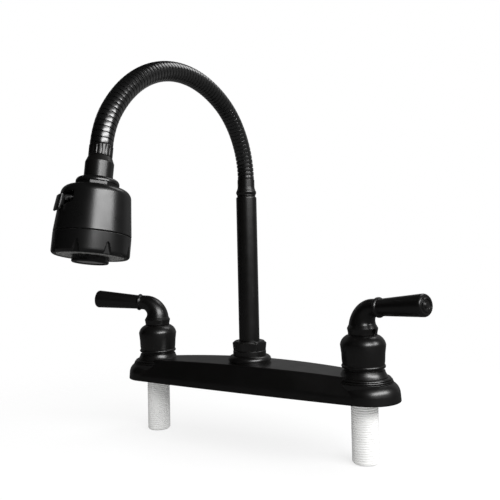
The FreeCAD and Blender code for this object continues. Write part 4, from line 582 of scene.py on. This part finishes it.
def bent_lever(rows, axis, heading, angles, field):
    """Carries rows along the lever's path. The path's centre is straight up, then a quarter bend of circle,
    then straight; a point is the centre plus radius times cosine across the bend and sine sideways."""
    angle, along = np.meshgrid(angles, rows[:, 1])
    radius = np.repeat(rows[:, :1], len(angles), 1)
    radius = field(angle, along, radius)
    turn = np.clip((along - ELBOW_START) / ELBOW_BEND, 0, ELBOW_TURN)
    beyond = np.maximum(along - ELBOW_END, 0)
    x = ELBOW_BEND * (1 - np.cos(turn)) + beyond * math.sin(ELBOW_TURN)
    z = np.minimum(along, ELBOW_START) + ELBOW_BEND * np.sin(turn) + beyond * math.cos(ELBOW_TURN)
    x = x + radius * np.cos(angle) * np.cos(turn)
    z = LEVER_FOOT + z - radius * np.cos(angle) * np.sin(turn)
    y = radius * np.sin(angle)
    return np.stack([x, y, z], 2) @ np.array((*facing(heading), UP)) * MM + axis[0]


def screw_pit(angle, along, radius):
    """Drops the foot's radius inside the set screw's circle, under the grip, over a narrow rim."""
    away = np.hypot(PIT_RADIUS * off_nearest(angle), along - SCREW_HEIGHT)
    inside = smooth_step((SCREW_RADIUS + PIT_ROOM - away) / PIT_RIM)
    return pressed(radius, np.minimum(radius, PIT_FLOOR), inside, FOOT_INNER)


def dense_angles(middle, half, inner, outer):
    """Angles round a circle, close together near one place."""
    near = np.linspace(middle - half, middle + half, inner, endpoint=False)
    far = np.linspace(middle + half, middle - half + 2 * math.pi, outer, endpoint=False)
    return np.concatenate([near, far])


def screw_grid(axis, angle):
    """The set screw: a short rod that points out of the hub's axis, with a socket in its face."""
    rows = outline([(0, 4.6), (1.4, 4.6), (2.0, 5.2), (2.0, SCREW_FACE, 0.3), (1.0, SCREW_FACE, 0.08),
                    (1.0, SCREW_FACE - 2, 0.1), (0, SCREW_FACE - 2.4)])
    out, side = facing(angle)
    place = axis[0] + UP * (LEVER_FOOT + SCREW_HEIGHT) * MM
    return turned(rows, (place, np.array((side, UP, out))), segments=48)


for side, heading in (("hot", math.pi + REST_ANGLE), ("cold", -REST_ANGLE)):
    angles = dense_angles(0, math.radians(16), 56, 96)
    grid = bent_lever(lever_rows(), HUBS[side], heading, angles, screw_pit)
    body = side + "_handle"
    fit(side + "_lever_horn", [grid], body, side + "_lever", "black_metal")
    screw = screw_grid(HUBS[side], heading)
    fit(side + "_grub_screw", [screw], body, side + "_set_screw", "steel", material=screw_steel)

# %% [markdown]
# The spout stands in a rounded flange, held by a nut. A nut is a six-sided bar whose corners were turned off
# on a lathe. That is the smaller of two radii at each angle and height: the distance to the nearest flat,
# and the lathe's cone. A soft version of the smaller-of rounds the edges where they meet.

# %% Flange, nut, pipe and ferrule
def soft_least(first, second, power=90.0):
    """The smaller of two radii, rounded where they are equal: the sum of both to a negative power."""
    return (first ** -power + second ** -power) ** (-1 / power)


def flats(angle, across, sides, turn, power=110.0):
    """Radius of a bar with flat sides: each flat's distance over the cosine of the angle from its middle,
    the nearest of them, softened at the corners."""
    middles = np.radians(turn + np.arange(sides) * 360 / sides)
    inverse = np.clip(np.cos(angle[..., None] - middles), 1e-3, None) * 2 / across
    return (inverse ** power).sum(-1) ** (-1 / power)


HEX_FLOOR = 31.5
HEX_ROOF = 39.3
HEX_FLATS = 25.4
HEX_CORNER = HEX_FLATS / 2 / math.cos(math.radians(30))
HEX_TURN = -4.0


def nut_field(angle, height, radius):
    """Round below the hexagon's floor, and cut by the six flats above it."""
    cut = soft_least(radius, flats(angle, HEX_FLATS, 6, HEX_TURN))
    return np.where(height > HEX_FLOOR + 0.02, cut, radius)


FLANGE = outline([(0, 21.35), (17.6, 21.35), (17.6, 22.9, 0.1), (18.4, 23.2, 0.2), (18.4, 23.9, 0.0, 4.0),
                  (14.4, 27.3, 0.2), (0, 27.3)])
NUT = outline([(0, 27.3), (14.1, 27.3, 0.2), (14.1, 31.0, 0.2), (13.4, HEX_FLOOR - 0.1, 0.1),
               (13.4, HEX_FLOOR + 0.05, 0.02), (HEX_CORNER - 0.7, HEX_FLOOR + 0.2, 0.1),
               (HEX_CORNER, HEX_FLOOR + 5, 0.5), (HEX_CORNER + 0.2, HEX_ROOF - 1.9, 0.5),
               (HEX_CORNER - 2.2, HEX_ROOF, 0.4), (0, HEX_ROOF)])
PIPE = outline([(0, 13), (8.75, 13), (8.75, 162.4, 1.2), (0, 162.4)])
FERRULE = outline([(0, 162.3), (7.3, 162.4), (7.9, 162.9, 0.1), (7.9, 164.0, 0.1), (8.25, 164.5, 0.1, 2.8),
                   (8.05, 167.8, 0.1), (7.3, 170.4, 0.4), (7.3, 177.0, 0.15), (0, 177.0)])
for name, rows, field, segments, body, node in (
        ("spout_flange_ring", FLANGE, None, 128, "deck", "spout_flange"),
        ("spout_hex_nut", NUT, nut_field, 288, "deck", "spout_nut"),
        ("spout_pipe", PIPE, None, 96, "spout", "spout_tube"),
        ("hose_ferrule_sleeve", FERRULE, None, 96, "spout", "hose_ferrule")):
    fit(name, [turned(rows, SPOUT, field, segments)], body, node, "black_metal")

# %% [markdown]
# The gooseneck is a metal hose of interlocked rings that stays where it is bent. It is a profile carried
# along a path: three arcs that meet without a kink. It is made in three lengths, as in the CAD model, where
# each length bends with one joint. A plain hose inside it carries the water.

# %% Hose
ARCH_FOOT = 177.0
ARCH = ((65.6, 62.6), (95.8, 83.6), (60.0, 25.2))
RIBS = 69
RIB_CREST = 7.0
RIB_SWELL = 0.10
RIB_VALLEY = 6.3
VALLEY_SHARE = 0.04
SLOPE_SHARE = 0.06
LINER_RADIUS = 4.5


def arch_place(length):
    """Centre and heading of the arch at each length. Along an arc of radius R from heading a to b, the
    centre moves by R times the change of cosine backwards and by R times the change of sine upwards."""
    y = np.zeros_like(length)
    z = np.full_like(length, ARCH_FOOT)
    heading = np.zeros_like(length)
    left = length.copy()
    for index, (radius, turn) in enumerate(ARCH):
        most = math.radians(turn) if index < len(ARCH) - 1 else math.inf
        step = np.clip(left / radius, 0, most)
        y = y + radius * (np.cos(heading + step) - np.cos(heading))
        z = z + radius * (np.sin(heading + step) - np.sin(heading))
        heading = heading + step
        left = left - step * radius
    return y, z, heading


def along_arch(length, radius, segments):
    """Carries circles of the given radii along the arch: sideways by radius times cosine, and outward from
    the bend by radius times sine."""
    y, z, heading = (value[:, None] for value in arch_place(length))
    angle = round_angles(segments)[None]
    reach = radius[:, None]
    return np.stack([reach * np.cos(angle) + 0 * y,
                     y + reach * np.sin(angle) * np.cos(heading),
                     z + reach * np.sin(angle) * np.sin(heading)], 2) * MM


def rib_rows(first, last, pitch):
    """Lengths and radii of some ribs. Each rises from its valley over a short slope, swells a little over
    its crest and drops again."""
    phase = np.array((0.03, 0.05, 0.07, 0.08, 0.10, 0.13, 0.20, 0.34, 0.5, 0.66, 0.80, 0.87, 0.90, 0.92, 0.93,
                      0.95, 0.97))
    shape = smooth_step((0.5 - np.abs(phase - 0.5) - VALLEY_SHARE) / SLOPE_SHARE)
    swell = RIB_SWELL * (1 - (2 * phase - 1) ** 2) * shape
    radius = RIB_VALLEY + (RIB_CREST - RIB_SWELL - RIB_VALLEY) * shape + swell
    length = (np.arange(first, last)[:, None] + phase[None]) * pitch
    return length.ravel(), np.tile(radius, last - first)


ARCH_LENGTH = sum(radius * math.radians(turn) for radius, turn in ARCH)
PITCH = ARCH_LENGTH / RIBS
LENGTHS = (("rise", "spout", "arch_rise"), ("crown", "arch_rise", "arch_crown"),
           ("fall", "arch_crown", "hose_end"))
for index, (name, low_body, high_body) in enumerate(LENGTHS):
    first, last = RIBS * index // 3, RIBS * (index + 1) // 3
    length, radius = rib_rows(first, last, PITCH)
    ends = np.array((first, last)) * PITCH
    closed_length = np.concatenate([ends[[0, 0]], length, ends[[1, 1]]])
    closed_radius = np.concatenate([(0, RIB_VALLEY), radius, (RIB_VALLEY, 0)])
    start, end = (along_arch(ends, np.zeros(2), 3)[row, 0] for row in (0, 1))
    hose = make_mesh("hose_%s_ribs" % name, [along_arch(closed_length, closed_radius, 72)])
    liner_length = np.linspace(*ends, 40)
    liner_radius = np.concatenate([(0,), np.full(38, LINER_RADIUS), (0,)])
    liner = make_mesh("liner_%s_pipe" % name, [along_arch(liner_length, liner_radius, 32)])
    for piece, node, slot in ((hose, "hose_" + name, "hose_black"),
                              (liner, "liner_" + name, "liner_plastic")):
        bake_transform(piece)
        dress(piece, node, slot)
print("hose length:", round(ARCH_LENGTH, 1), "mm, pitch:", round(PITCH, 2), "mm")

# %% [markdown]
# At its other end the hose goes into a fluted nut and a sleeve that the head swivels on. The collar below is
# round above and has eight flats below. Flutes and flats are fields on a turned outline, as in the nut.

# %% Fluted nut, sleeve and collar
FLUTES = 18
FLUTE_RADIUS = 1.0
FLUTE_DEPTH = 0.22
FLUTE_TOP = 0.7
FLUTE_FOOT = 6.9
FLUTE_FADE = 0.4
NUT_INNER = 6.9


def flute_field(angle, height, radius):
    """Cuts round channels along the nut, as deep as their circle reaches inside it, faded at both ends."""
    across = radius * off_nearest(angle, 2 * math.pi / FLUTES)
    depth = np.sqrt(np.clip(FLUTE_RADIUS ** 2 - across ** 2, 0, None)) - (FLUTE_RADIUS - FLUTE_DEPTH)
    window = faded_ends(height, -FLUTE_FOOT, -FLUTE_TOP, FLUTE_FADE)
    return np.where(radius > NUT_INNER, radius - np.clip(depth, 0, None) * window, radius)


COLLAR_FLATS = 24.6
COLLAR_TURN = 3
COLLAR_INNER = 11.0
CAP_FOOT = 24.5
CAP_FADE = 0.25
MOST_GROWTH = 1.4


def collar_field(angle, height, radius):
    """Blends from the round cap to eight flats below it."""
    flat = np.minimum(flats(angle, COLLAR_FLATS, 8, COLLAR_TURN), radius + MOST_GROWTH)
    share = np.clip((-height - CAP_FOOT) / CAP_FADE, 0, 1)
    return pressed(radius, flat, share, COLLAR_INNER)


FLUTED_NUT = hung([(0, 0.0), (6.8, 0.0), (7.2, 0.6, 0.1), (7.2, 1.2, 0.05), (7.2, 3.6, 0), (7.2, 6.4, 0.05),
                   (7.2, 6.8, 0.1), (6.7, 7.3, 0.1), (0, 7.3)])
SLEEVE = hung([(0, 7.3), (7.1, 7.3, 0.1), (8.6, 11.1, 0.8), (8.6, 23.9), (0, 23.9)])
COLLAR = hung([(0, 21.2), (12.9, 21.2, 2.6), (12.9, 24.3, 0.2), (12.2, 24.75, 0.1), (12.2, 26.9, 0.1),
               (12.0, 27.2, 0.1), (0, 27.2)])
for name, rows, field, segments, body, node, slot in (
        ("hose_fluted_nut", FLUTED_NUT, flute_field, 360, "hose_end", "hose_end_nut", "black_metal"),
        ("swivel_sleeve_tube", SLEEVE, None, 96, "hose_end", "swivel_sleeve", "black_metal"),
        ("head_collar_cap", COLLAR, collar_field, 288, "spray_head", "head_collar", "black_plastic")):
    fit(name, [turned(rows, HEAD, field, segments)], body, node, slot)

# %% [markdown]
# The spray head's shell is a bell with a pocket in its shoulder, where the tab that changes the spray sits.
# The pocket could be cut out with a boolean, which leaves a messy mesh and sharp edges. Here it is a field:
# inside the pocket's outline the radius drops to a flat floor, and a narrow smooth step makes its walls.

# %% Head shell with its pocket
TAB_ANGLE = math.radians(-110)
POCKET_TOP = 33.1
POCKET_FOOT = 42.6
POCKET_SIDE = 39.0
POCKET_HALF = 10.4
POCKET_FOOT_HALF = 2.6
POCKET_FLOOR = 14.8
POCKET_REACH = math.radians(60)
WALL_STEP = 0.35
SHELL_INNER = 12


def pocket_field(angle, height, radius):
    """Drops the radius to the pocket's flat floor inside its outline, a box whose foot narrows."""
    off = off_nearest(angle - TAB_ANGLE)
    near = np.abs(off) < POCKET_REACH
    off = np.where(near, off, 0)
    across = np.abs(radius * np.sin(off))
    down = -height
    narrowing = np.clip((down - POCKET_SIDE) / (POCKET_FOOT - POCKET_SIDE), 0, 1)
    half = POCKET_HALF + (POCKET_FOOT_HALF - POCKET_HALF) * narrowing
    room = np.minimum(half - across, np.minimum(down - POCKET_TOP, POCKET_FOOT - down))
    inside = smooth_step(room / WALL_STEP + 0.5) * near
    floor = np.minimum(radius, POCKET_FLOOR / np.cos(off))
    return pressed(radius, floor, inside, SHELL_INNER)


SHELL = hung([(0, 27.2), (15.5, 27.2, 0.2, 5.2), (20.6, 31.8, 0.0), (22.75, 55.2, 0.25), (0, 55.2)])


def refined(rows, low, high, step):
    """Adds evenly spaced rows to an outline between two heights."""
    order = rows[:, 1]
    extra = np.arange(high, low, -step)
    inner = np.stack([np.interp(-extra, -order[1:-1], rows[1:-1, 0]), extra], 1)
    return np.vstack([rows[order > high], inner, rows[order < low]])


shell_angles = dense_angles(TAB_ANGLE, math.radians(42), 150, 110)
shell = turned(refined(SHELL, -44.0, -32.2, 0.2), HEAD, pocket_field, angles=shell_angles)
fit("head_shell_bell", [shell], "spray_head", "head_shell", "black_plastic")

# %% [markdown]
# The tab is a curved plate on a small axle: pressing its foot changes the spray. Its section is a loop in the
# plane of radius and height, swept sideways round the head's axis and drawn in at both sides to round them.
# The lug is a short bar behind the plate that the axle runs through.

# %% Mode tab
TAB_HALF = math.radians(10)
TAB_SECTION = outline([(20.5, 35.1, 0.2), (22.2, 34.3, 0.3), (22.8, 34.9, 0.5), (24.1, 43.8, 0.5),
                       (23.7, 44.3, 0.3), (22.9, 44.3, 0.2), (22.9, 42.3, 0.3), (20.5, 41.3, 0.3)], loop=True)
TAB_MIDDLE = np.array((22.4, 39.3))
TAB_OUT, TAB_SIDE = facing(TAB_ANGLE)
WEB_SECTION = outline([(16.8, 34.9), (21.8, 34.9), (21.8, 37.9), (16.8, 37.9)], loop=True)
WEB_HALF = 2.75
LUG_RADIUS = 1.7
LUG_HALF = 5.5
PIN_RADIUS = 16.8
PIN_DOWN = 36.4


def drawn_in(section, middle, scale):
    """Radius and distance down of a section's points, scaled about its middle once for each place across."""
    section = middle + (section - middle) * np.array(scale)[:, None, None]
    return section[..., 0], section[..., 1]


def on_head(local):
    """Places points, in metres along the head's own directions, where the head is."""
    return local @ HEAD[1] + HEAD[0]


def tab_grid():
    """The tab's plate: its section, drawn in at the sides, turned to each angle."""
    share = np.array((0.3, 0.6, 0.9, 0.96, 0.985, 1, 1))
    swing = TAB_HALF * np.concatenate([-share[::-1], (0,), share])
    scale = (0, 0.86, 0.95, 0.99, 1, 1, 1, 1, 1, 1, 1, 0.99, 0.95, 0.86, 0)
    radius, down = drawn_in(TAB_SECTION, TAB_MIDDLE, scale)
    angle = (TAB_ANGLE + swing)[:, None]
    return on_head(np.stack([radius * np.cos(angle), radius * np.sin(angle), -down], 2) * MM)


def lug_grid():
    """The lug that the axle runs through: a turned bar laid along the sideways direction."""
    rows = outline([(0, -LUG_HALF), (LUG_RADIUS, -LUG_HALF, 0.2), (LUG_RADIUS, LUG_HALF, 0.2), (0, LUG_HALF)])
    place = TAB_OUT * PIN_RADIUS - UP * PIN_DOWN
    return on_head(turned(rows, (place * MM, np.array((TAB_OUT, UP, TAB_SIDE))), segments=40))


def web_grid():
    """The web between the lug and the plate, a flat bar with rounded corners."""
    sideways = np.array((-WEB_HALF, -WEB_HALF, WEB_HALF, WEB_HALF))[:, None]
    place, down = drawn_in(WEB_SECTION, WEB_SECTION.mean(0), (0, 1, 1, 0))
    local = place[..., None] * TAB_OUT + sideways[..., None] * TAB_SIDE - down[..., None] * UP
    return on_head(local * MM)


tab_grids = [tab_grid(), lug_grid(), web_grid()]
fit("mode_tab_rocker", tab_grids, "mode_switch", "mode_tab", "black_plastic")

# %% [markdown]
# The lower ring has notches for the fingers, each a narrow wedge that is widest at the foot. They are a field
# again. The pale face sits inside the ring, with two rings of soft nozzles round the aerator, and the
# aerator's black cup stands out of the middle with its screen inside.

# %% Grip ring, face and aerator
FACE_DOWN = 68.5
NOTCHES = 8
NOTCH_TURN = math.radians(-110)
NOTCH_HEIGHT = 7.0
NOTCH_WIDTH = 5.4
NOTCH_TIP_HALF = 0.35
NOTCH_FLOOR = 21.65
NOTCH_STEP = 0.3
RING_INNER = 21.0


def notch_field(angle, height, radius):
    """Cuts wedges to a flat floor. Each one's half width grows evenly from its tip's to its foot's."""
    off = off_nearest(angle - NOTCH_TURN, 2 * math.pi / NOTCHES)
    across = np.abs(radius * np.sin(off))
    below_tip = -height - (FACE_DOWN - NOTCH_HEIGHT)
    half = NOTCH_TIP_HALF + (NOTCH_WIDTH / 2 - NOTCH_TIP_HALF) * below_tip / (NOTCH_HEIGHT + 1)
    inside = smooth_step(np.minimum(half - across, below_tip) / NOTCH_STEP + 0.5)
    floor = np.minimum(radius, NOTCH_FLOOR / np.cos(off))
    return pressed(radius, floor, inside, RING_INNER)


NOTCH_ROWS = [(22.75, down, 0) for down in (60.6, 61.3, 61.9, 62.6, 64.1, 65.6)]
RING = hung([(20.15, 55.5, 0.1), (22.45, 55.5, 0.1), (22.75, 55.9, 0.2)] + NOTCH_ROWS
            + [(22.75, FACE_DOWN, 2.0), (20.15, FACE_DOWN, 0.2)], loop=True)
FACE = hung([(10.9, 65.4, 0.1), (20.05, 65.4, 0.1), (20.05, 67.7, 0.1), (19.65, 68.0, 0.1),
             (10.9, 68.0, 0.1)], loop=True)
CUP = hung([(8.9, 62.7, 0.1), (10.8, 62.7, 0.1), (10.8, 72.2, 0.9), (8.9, 72.2, 0.25)], loop=True)
SCREEN = hung([(0, 69.8), (8.85, 69.8), (8.85, 71.4, 0.1), (0, 71.4)])
NOZZLE = hung([(0, 67.5), (0.75, 67.5, 0.05), (0.75, 68.0, 0.05), (0.52, 68.5, 0.08), (0.4, 68.5, 0.03),
               (0.38, 67.9, 0.05), (0, 67.85)])


def nozzle_ring(count, circle):
    """Copies one nozzle to equal steps of a circle round the head's axis."""
    grids = []
    for turn in np.arange(count) * 2 * math.pi / count:
        centre = np.array((circle * math.cos(turn), circle * math.sin(turn), 0)) * MM
        grids.append(turned(NOZZLE, (on_head(centre), HEAD[1]), segments=20))
    return grids


face_grids = [turned(FACE, HEAD, segments=120)] + nozzle_ring(24, 17.6) + nozzle_ring(18, 14.2)
for name, grids, node, slot, loops in (
        ("finger_grip_ring", [turned(RING, HEAD, notch_field, 560)], "grip_ring", "black_plastic", (0,)),
        ("spray_face", face_grids, "spray_plate", "pale_plastic", (0,)),
        ("aerator_cup", [turned(CUP, HEAD, segments=96)], "aerator_housing", "black_plastic", (0,)),
        ("aerator_mesh_screen", [turned(SCREEN, HEAD, segments=64)], "aerator_screen", "screen_grey", ())):
    fit(name, grids, "spray_head", node, slot, loops)

# %% [markdown]
# Each tail is the lower end of a moulded valve body, with a fine pipe thread for the nuts below the sink. A
# thread is a helix: its radius depends on the height and on the angle together, one pitch for each turn. In
# the CAD model the thread is rings of the right pitch, and here it really winds.

# %% Valve bodies with threaded tails
TAIL_RADIUS = 10.4
THREAD_PITCH = 1.814
THREAD_DEPTH = 0.75
THREAD_HALF = 0.36
THREAD_FADE = 1.2
THREAD_SKIN = 0.06
TAIL_LENGTH = 48.0
THREAD_FOOT = 0.6 - TAIL_LENGTH
THREAD_TOP = -2.2
SOCKET_HEIGHT = 8.2


def thread_field(angle, height, radius):
    """Cuts a groove that winds down the tail: the phase is height over pitch less the share of a turn, and
    the depth falls off on both sides of the groove's middle. It fades out at both ends."""
    phase = np.mod(height / THREAD_PITCH - angle / (2 * math.pi), 1)
    depth = THREAD_DEPTH * np.clip(1 - np.abs(phase - 0.5) / THREAD_HALF, 0, 1)
    depth = depth * faded_ends(height, THREAD_FOOT, THREAD_TOP, THREAD_FADE)
    return np.where(np.abs(radius - TAIL_RADIUS) < THREAD_SKIN, radius - depth, radius)


def valve_rows():
    """The moulding's section as a loop: tail, flange and neck outside, chamber and bore inside."""
    thread = np.arange(-TAIL_LENGTH + 1.3, -1.1, THREAD_PITCH / 9)
    winding = np.stack([np.full(len(thread), TAIL_RADIUS), thread], 1)
    lower = outline([(6.5, -TAIL_LENGTH, 0.2), (9.2, -TAIL_LENGTH, 0.1), (10.38, -46.82, 0.1),
                     (10.38, -46.6)])
    upper = outline([(10.38, -1.05), (9.65, -1.0, 0.05), (9.65, 2.0, 0.1), (15.5, 2.0, 0.2), (15.5, 5.5, 0.3),
                     (12.5, 5.5, 0.2), (12.5, 31.0, 0.2), (9.6, 31.0, 0.2), (9.6, 8.5, 0.2), (4.0, 8.5, 0.1),
                     (4.0, 4.5, 0.2), (6.5, 3.0, 0.2), (6.5, -47.5)])
    return np.vstack([lower, winding, upper])


SOCKET = outline([(0, 10.5), (5.9, 10.5, 0.3), (5.9, 20.5, 0.3), (4.55, 20.5, 0.2), (4.55, 12.5, 0.2),
                  (0, 12.5)])


def socket_grid(axis, inward):
    """The socket for the crossover pipe: a cup that lies towards the spout."""
    directions = np.array((UP, (0, 1, 0), (inward, 0, 0)))
    return turned(SOCKET, (axis[0] + UP * SOCKET_HEIGHT * MM, directions), segments=48)


for side, inward in (("hot", 1), ("cold", -1)):
    grids = [turned(valve_rows(), HUBS[side], thread_field, segments=96), socket_grid(HUBS[side], inward)]
    fit(side + "_threaded_tail", grids, "deck", side + "_valve_body", "white_plastic", (0,))

# %% [markdown]
# The photograph is a product picture on white: one large soft light high on the right, and dark on the left.
# Satin black is seen only by what it reflects, so where the light stands matters more than how strong it is.
# Dark cards stand all round, above and below, where only reflections see them, and give the deep blacks. The
# floor is pale and keeps a soft shadow, fades out so that no edge of it shows, and isn't reflected.

# %% Light
CENTRE = Vector((0, -0.06, 0.10))


def aim(thing, place, axis):
    """Puts a light or a card at a place, with one of its axes towards the tap's middle."""
    thing.location = place
    thing.rotation_euler = (CENTRE - place).to_track_quat(axis, "Y").to_euler()


def softbox(name, place, width, height, power):
    """A soft rectangular light that looks at the tap's middle."""
    light = bpy.data.lights.new(name, "AREA")
    light.shape = "RECTANGLE"
    light.size = width
    light.size_y = height
    light.energy = power
    aim(put(name, light), place, "-Z")


def around(azimuth, elevation, distance):
    """A place round the tap: azimuth from straight in front towards the cold side, in degrees."""
    a, e = math.radians(azimuth), math.radians(elevation)
    return CENTRE + Vector((math.sin(a) * math.cos(e), -math.cos(a) * math.cos(e), math.sin(e))) * distance


softbox("key_softbox", around(73, 29, 1.2), 1.25, 0.36, 14.0)
softbox("back_softbox", around(165, 52, 1.2), 0.5, 0.5, 1.6)

# %% World and dark cards
def empty_tree(owner):
    """The node tree of a new material or world, with nothing in it yet."""
    owner.use_nodes = True
    owner.node_tree.nodes.clear()
    return owner.node_tree


world = bpy.data.worlds.new("white_studio")
bpy.context.scene.world = world
tree = empty_tree(world)
paths = add(tree, "LightPath").outputs
seen = add(tree, "Math", links={0: paths["Is Camera Ray"], 1: paths["Is Glossy Ray"]}, operation="MAXIMUM")
seen = add(tree, "Math", links={0: seen.outputs[0], 1: paths["Is Transmission Ray"]}, operation="MAXIMUM")
strength = add(tree, "MapRange", {"To Min": 0.6, "To Max": 1.0}, {"Value": seen.outputs[0]})
backdrop = add(tree, "Background", {"Color": colour(1.0)}, {"Strength": strength.outputs["Result"]})
add(tree, "OutputWorld", links={"Surface": backdrop.outputs[0]})


def card(name, azimuth, elevation, distance, width, height, glow):
    """A black card that only reflections see, and that may glow a little."""
    mesh = bpy.data.meshes.new(name)
    w, h = width / 2, height / 2
    mesh.from_pydata([(-w, -h, 0), (w, -h, 0), (w, h, 0), (-w, h, 0)], [], [(0, 1, 2, 3)])
    thing = put(name, mesh)
    aim(thing, around(azimuth, elevation, distance), "Z")
    for rays in ("camera", "diffuse", "shadow", "transmission"):
        setattr(thing, "visible_" + rays, False)
    paint = bpy.data.materials.new(name)
    tree = empty_tree(paint)
    emission = add(tree, "Emission", {"Strength": glow})
    add(tree, "OutputMaterial", links={"Surface": emission.outputs[0]})
    mesh.materials.append(paint)


for name, azimuth, glow in (("front", 0, 0.0), ("left", -60, 0.0), ("far_left", -120, 0.12),
                            ("back", 180, 0.2), ("far_right", 120, 0.08), ("right", 60, 0.06)):
    card(name + "_card", azimuth, 0, 1.7, 1.97, 2.6, glow)
card("top_card", 0, 90, 1.3, 4.0, 4.0, 0.01)
card("floor_card", 0, -90, 0.17, 3.0, 3.0, 0.07)

# %% Floor
FLOOR_HEIGHT = -48.5
FLOOR_RADIUS = 500.0
FLOOR_FADE = (200 * MM, 490 * MM)


def floor_finish():
    """Pale paint that the camera sees brighter, so that only the shadow is left of it, and that fades to
    nothing towards the disc's edge."""
    material = bpy.data.materials.new("floor_paper")
    tree = empty_tree(material)
    paper = add(tree, "BsdfDiffuse", {"Color": colour(0.8)})
    plain = add(tree, "BsdfDiffuse", {"Color": colour(0.30)})
    glow = add(tree, "Emission", {"Strength": 0.72})
    both = add(tree, "AddShader", links={0: plain.outputs[0], 1: glow.outputs[0]})
    by_camera = add(tree, "LightPath").outputs["Is Camera Ray"]
    look = add(tree, "MixShader", links={0: by_camera, 1: paper.outputs[0], 2: both.outputs[0]})
    place = add(tree, "TexCoord").outputs["Object"]
    length = add(tree, "VectorMath", links={0: place}, operation="LENGTH").outputs["Value"]
    start, end = FLOOR_FADE
    fade = add(tree, "MapRange", {"From Min": start, "From Max": end}, {"Value": length},
               interpolation_type="SMOOTHSTEP")
    clear = add(tree, "BsdfTransparent")
    faded = add(tree, "MixShader",
                links={0: fade.outputs["Result"], 1: look.outputs[0], 2: clear.outputs[0]})
    add(tree, "OutputMaterial", links={"Surface": faded.outputs[0]})
    return material


floor_rows = np.array([(reach, FLOOR_HEIGHT) for reach in np.linspace(0, FLOOR_RADIUS, 24)])
floor = make_mesh("floor", [turned(floor_rows, (np.zeros(3), np.eye(3)), segments=96)])
floor.data.materials.append(floor_finish())
floor.visible_glossy = False

# %% Settings
bpy.context.scene.view_settings.view_transform = "Standard"
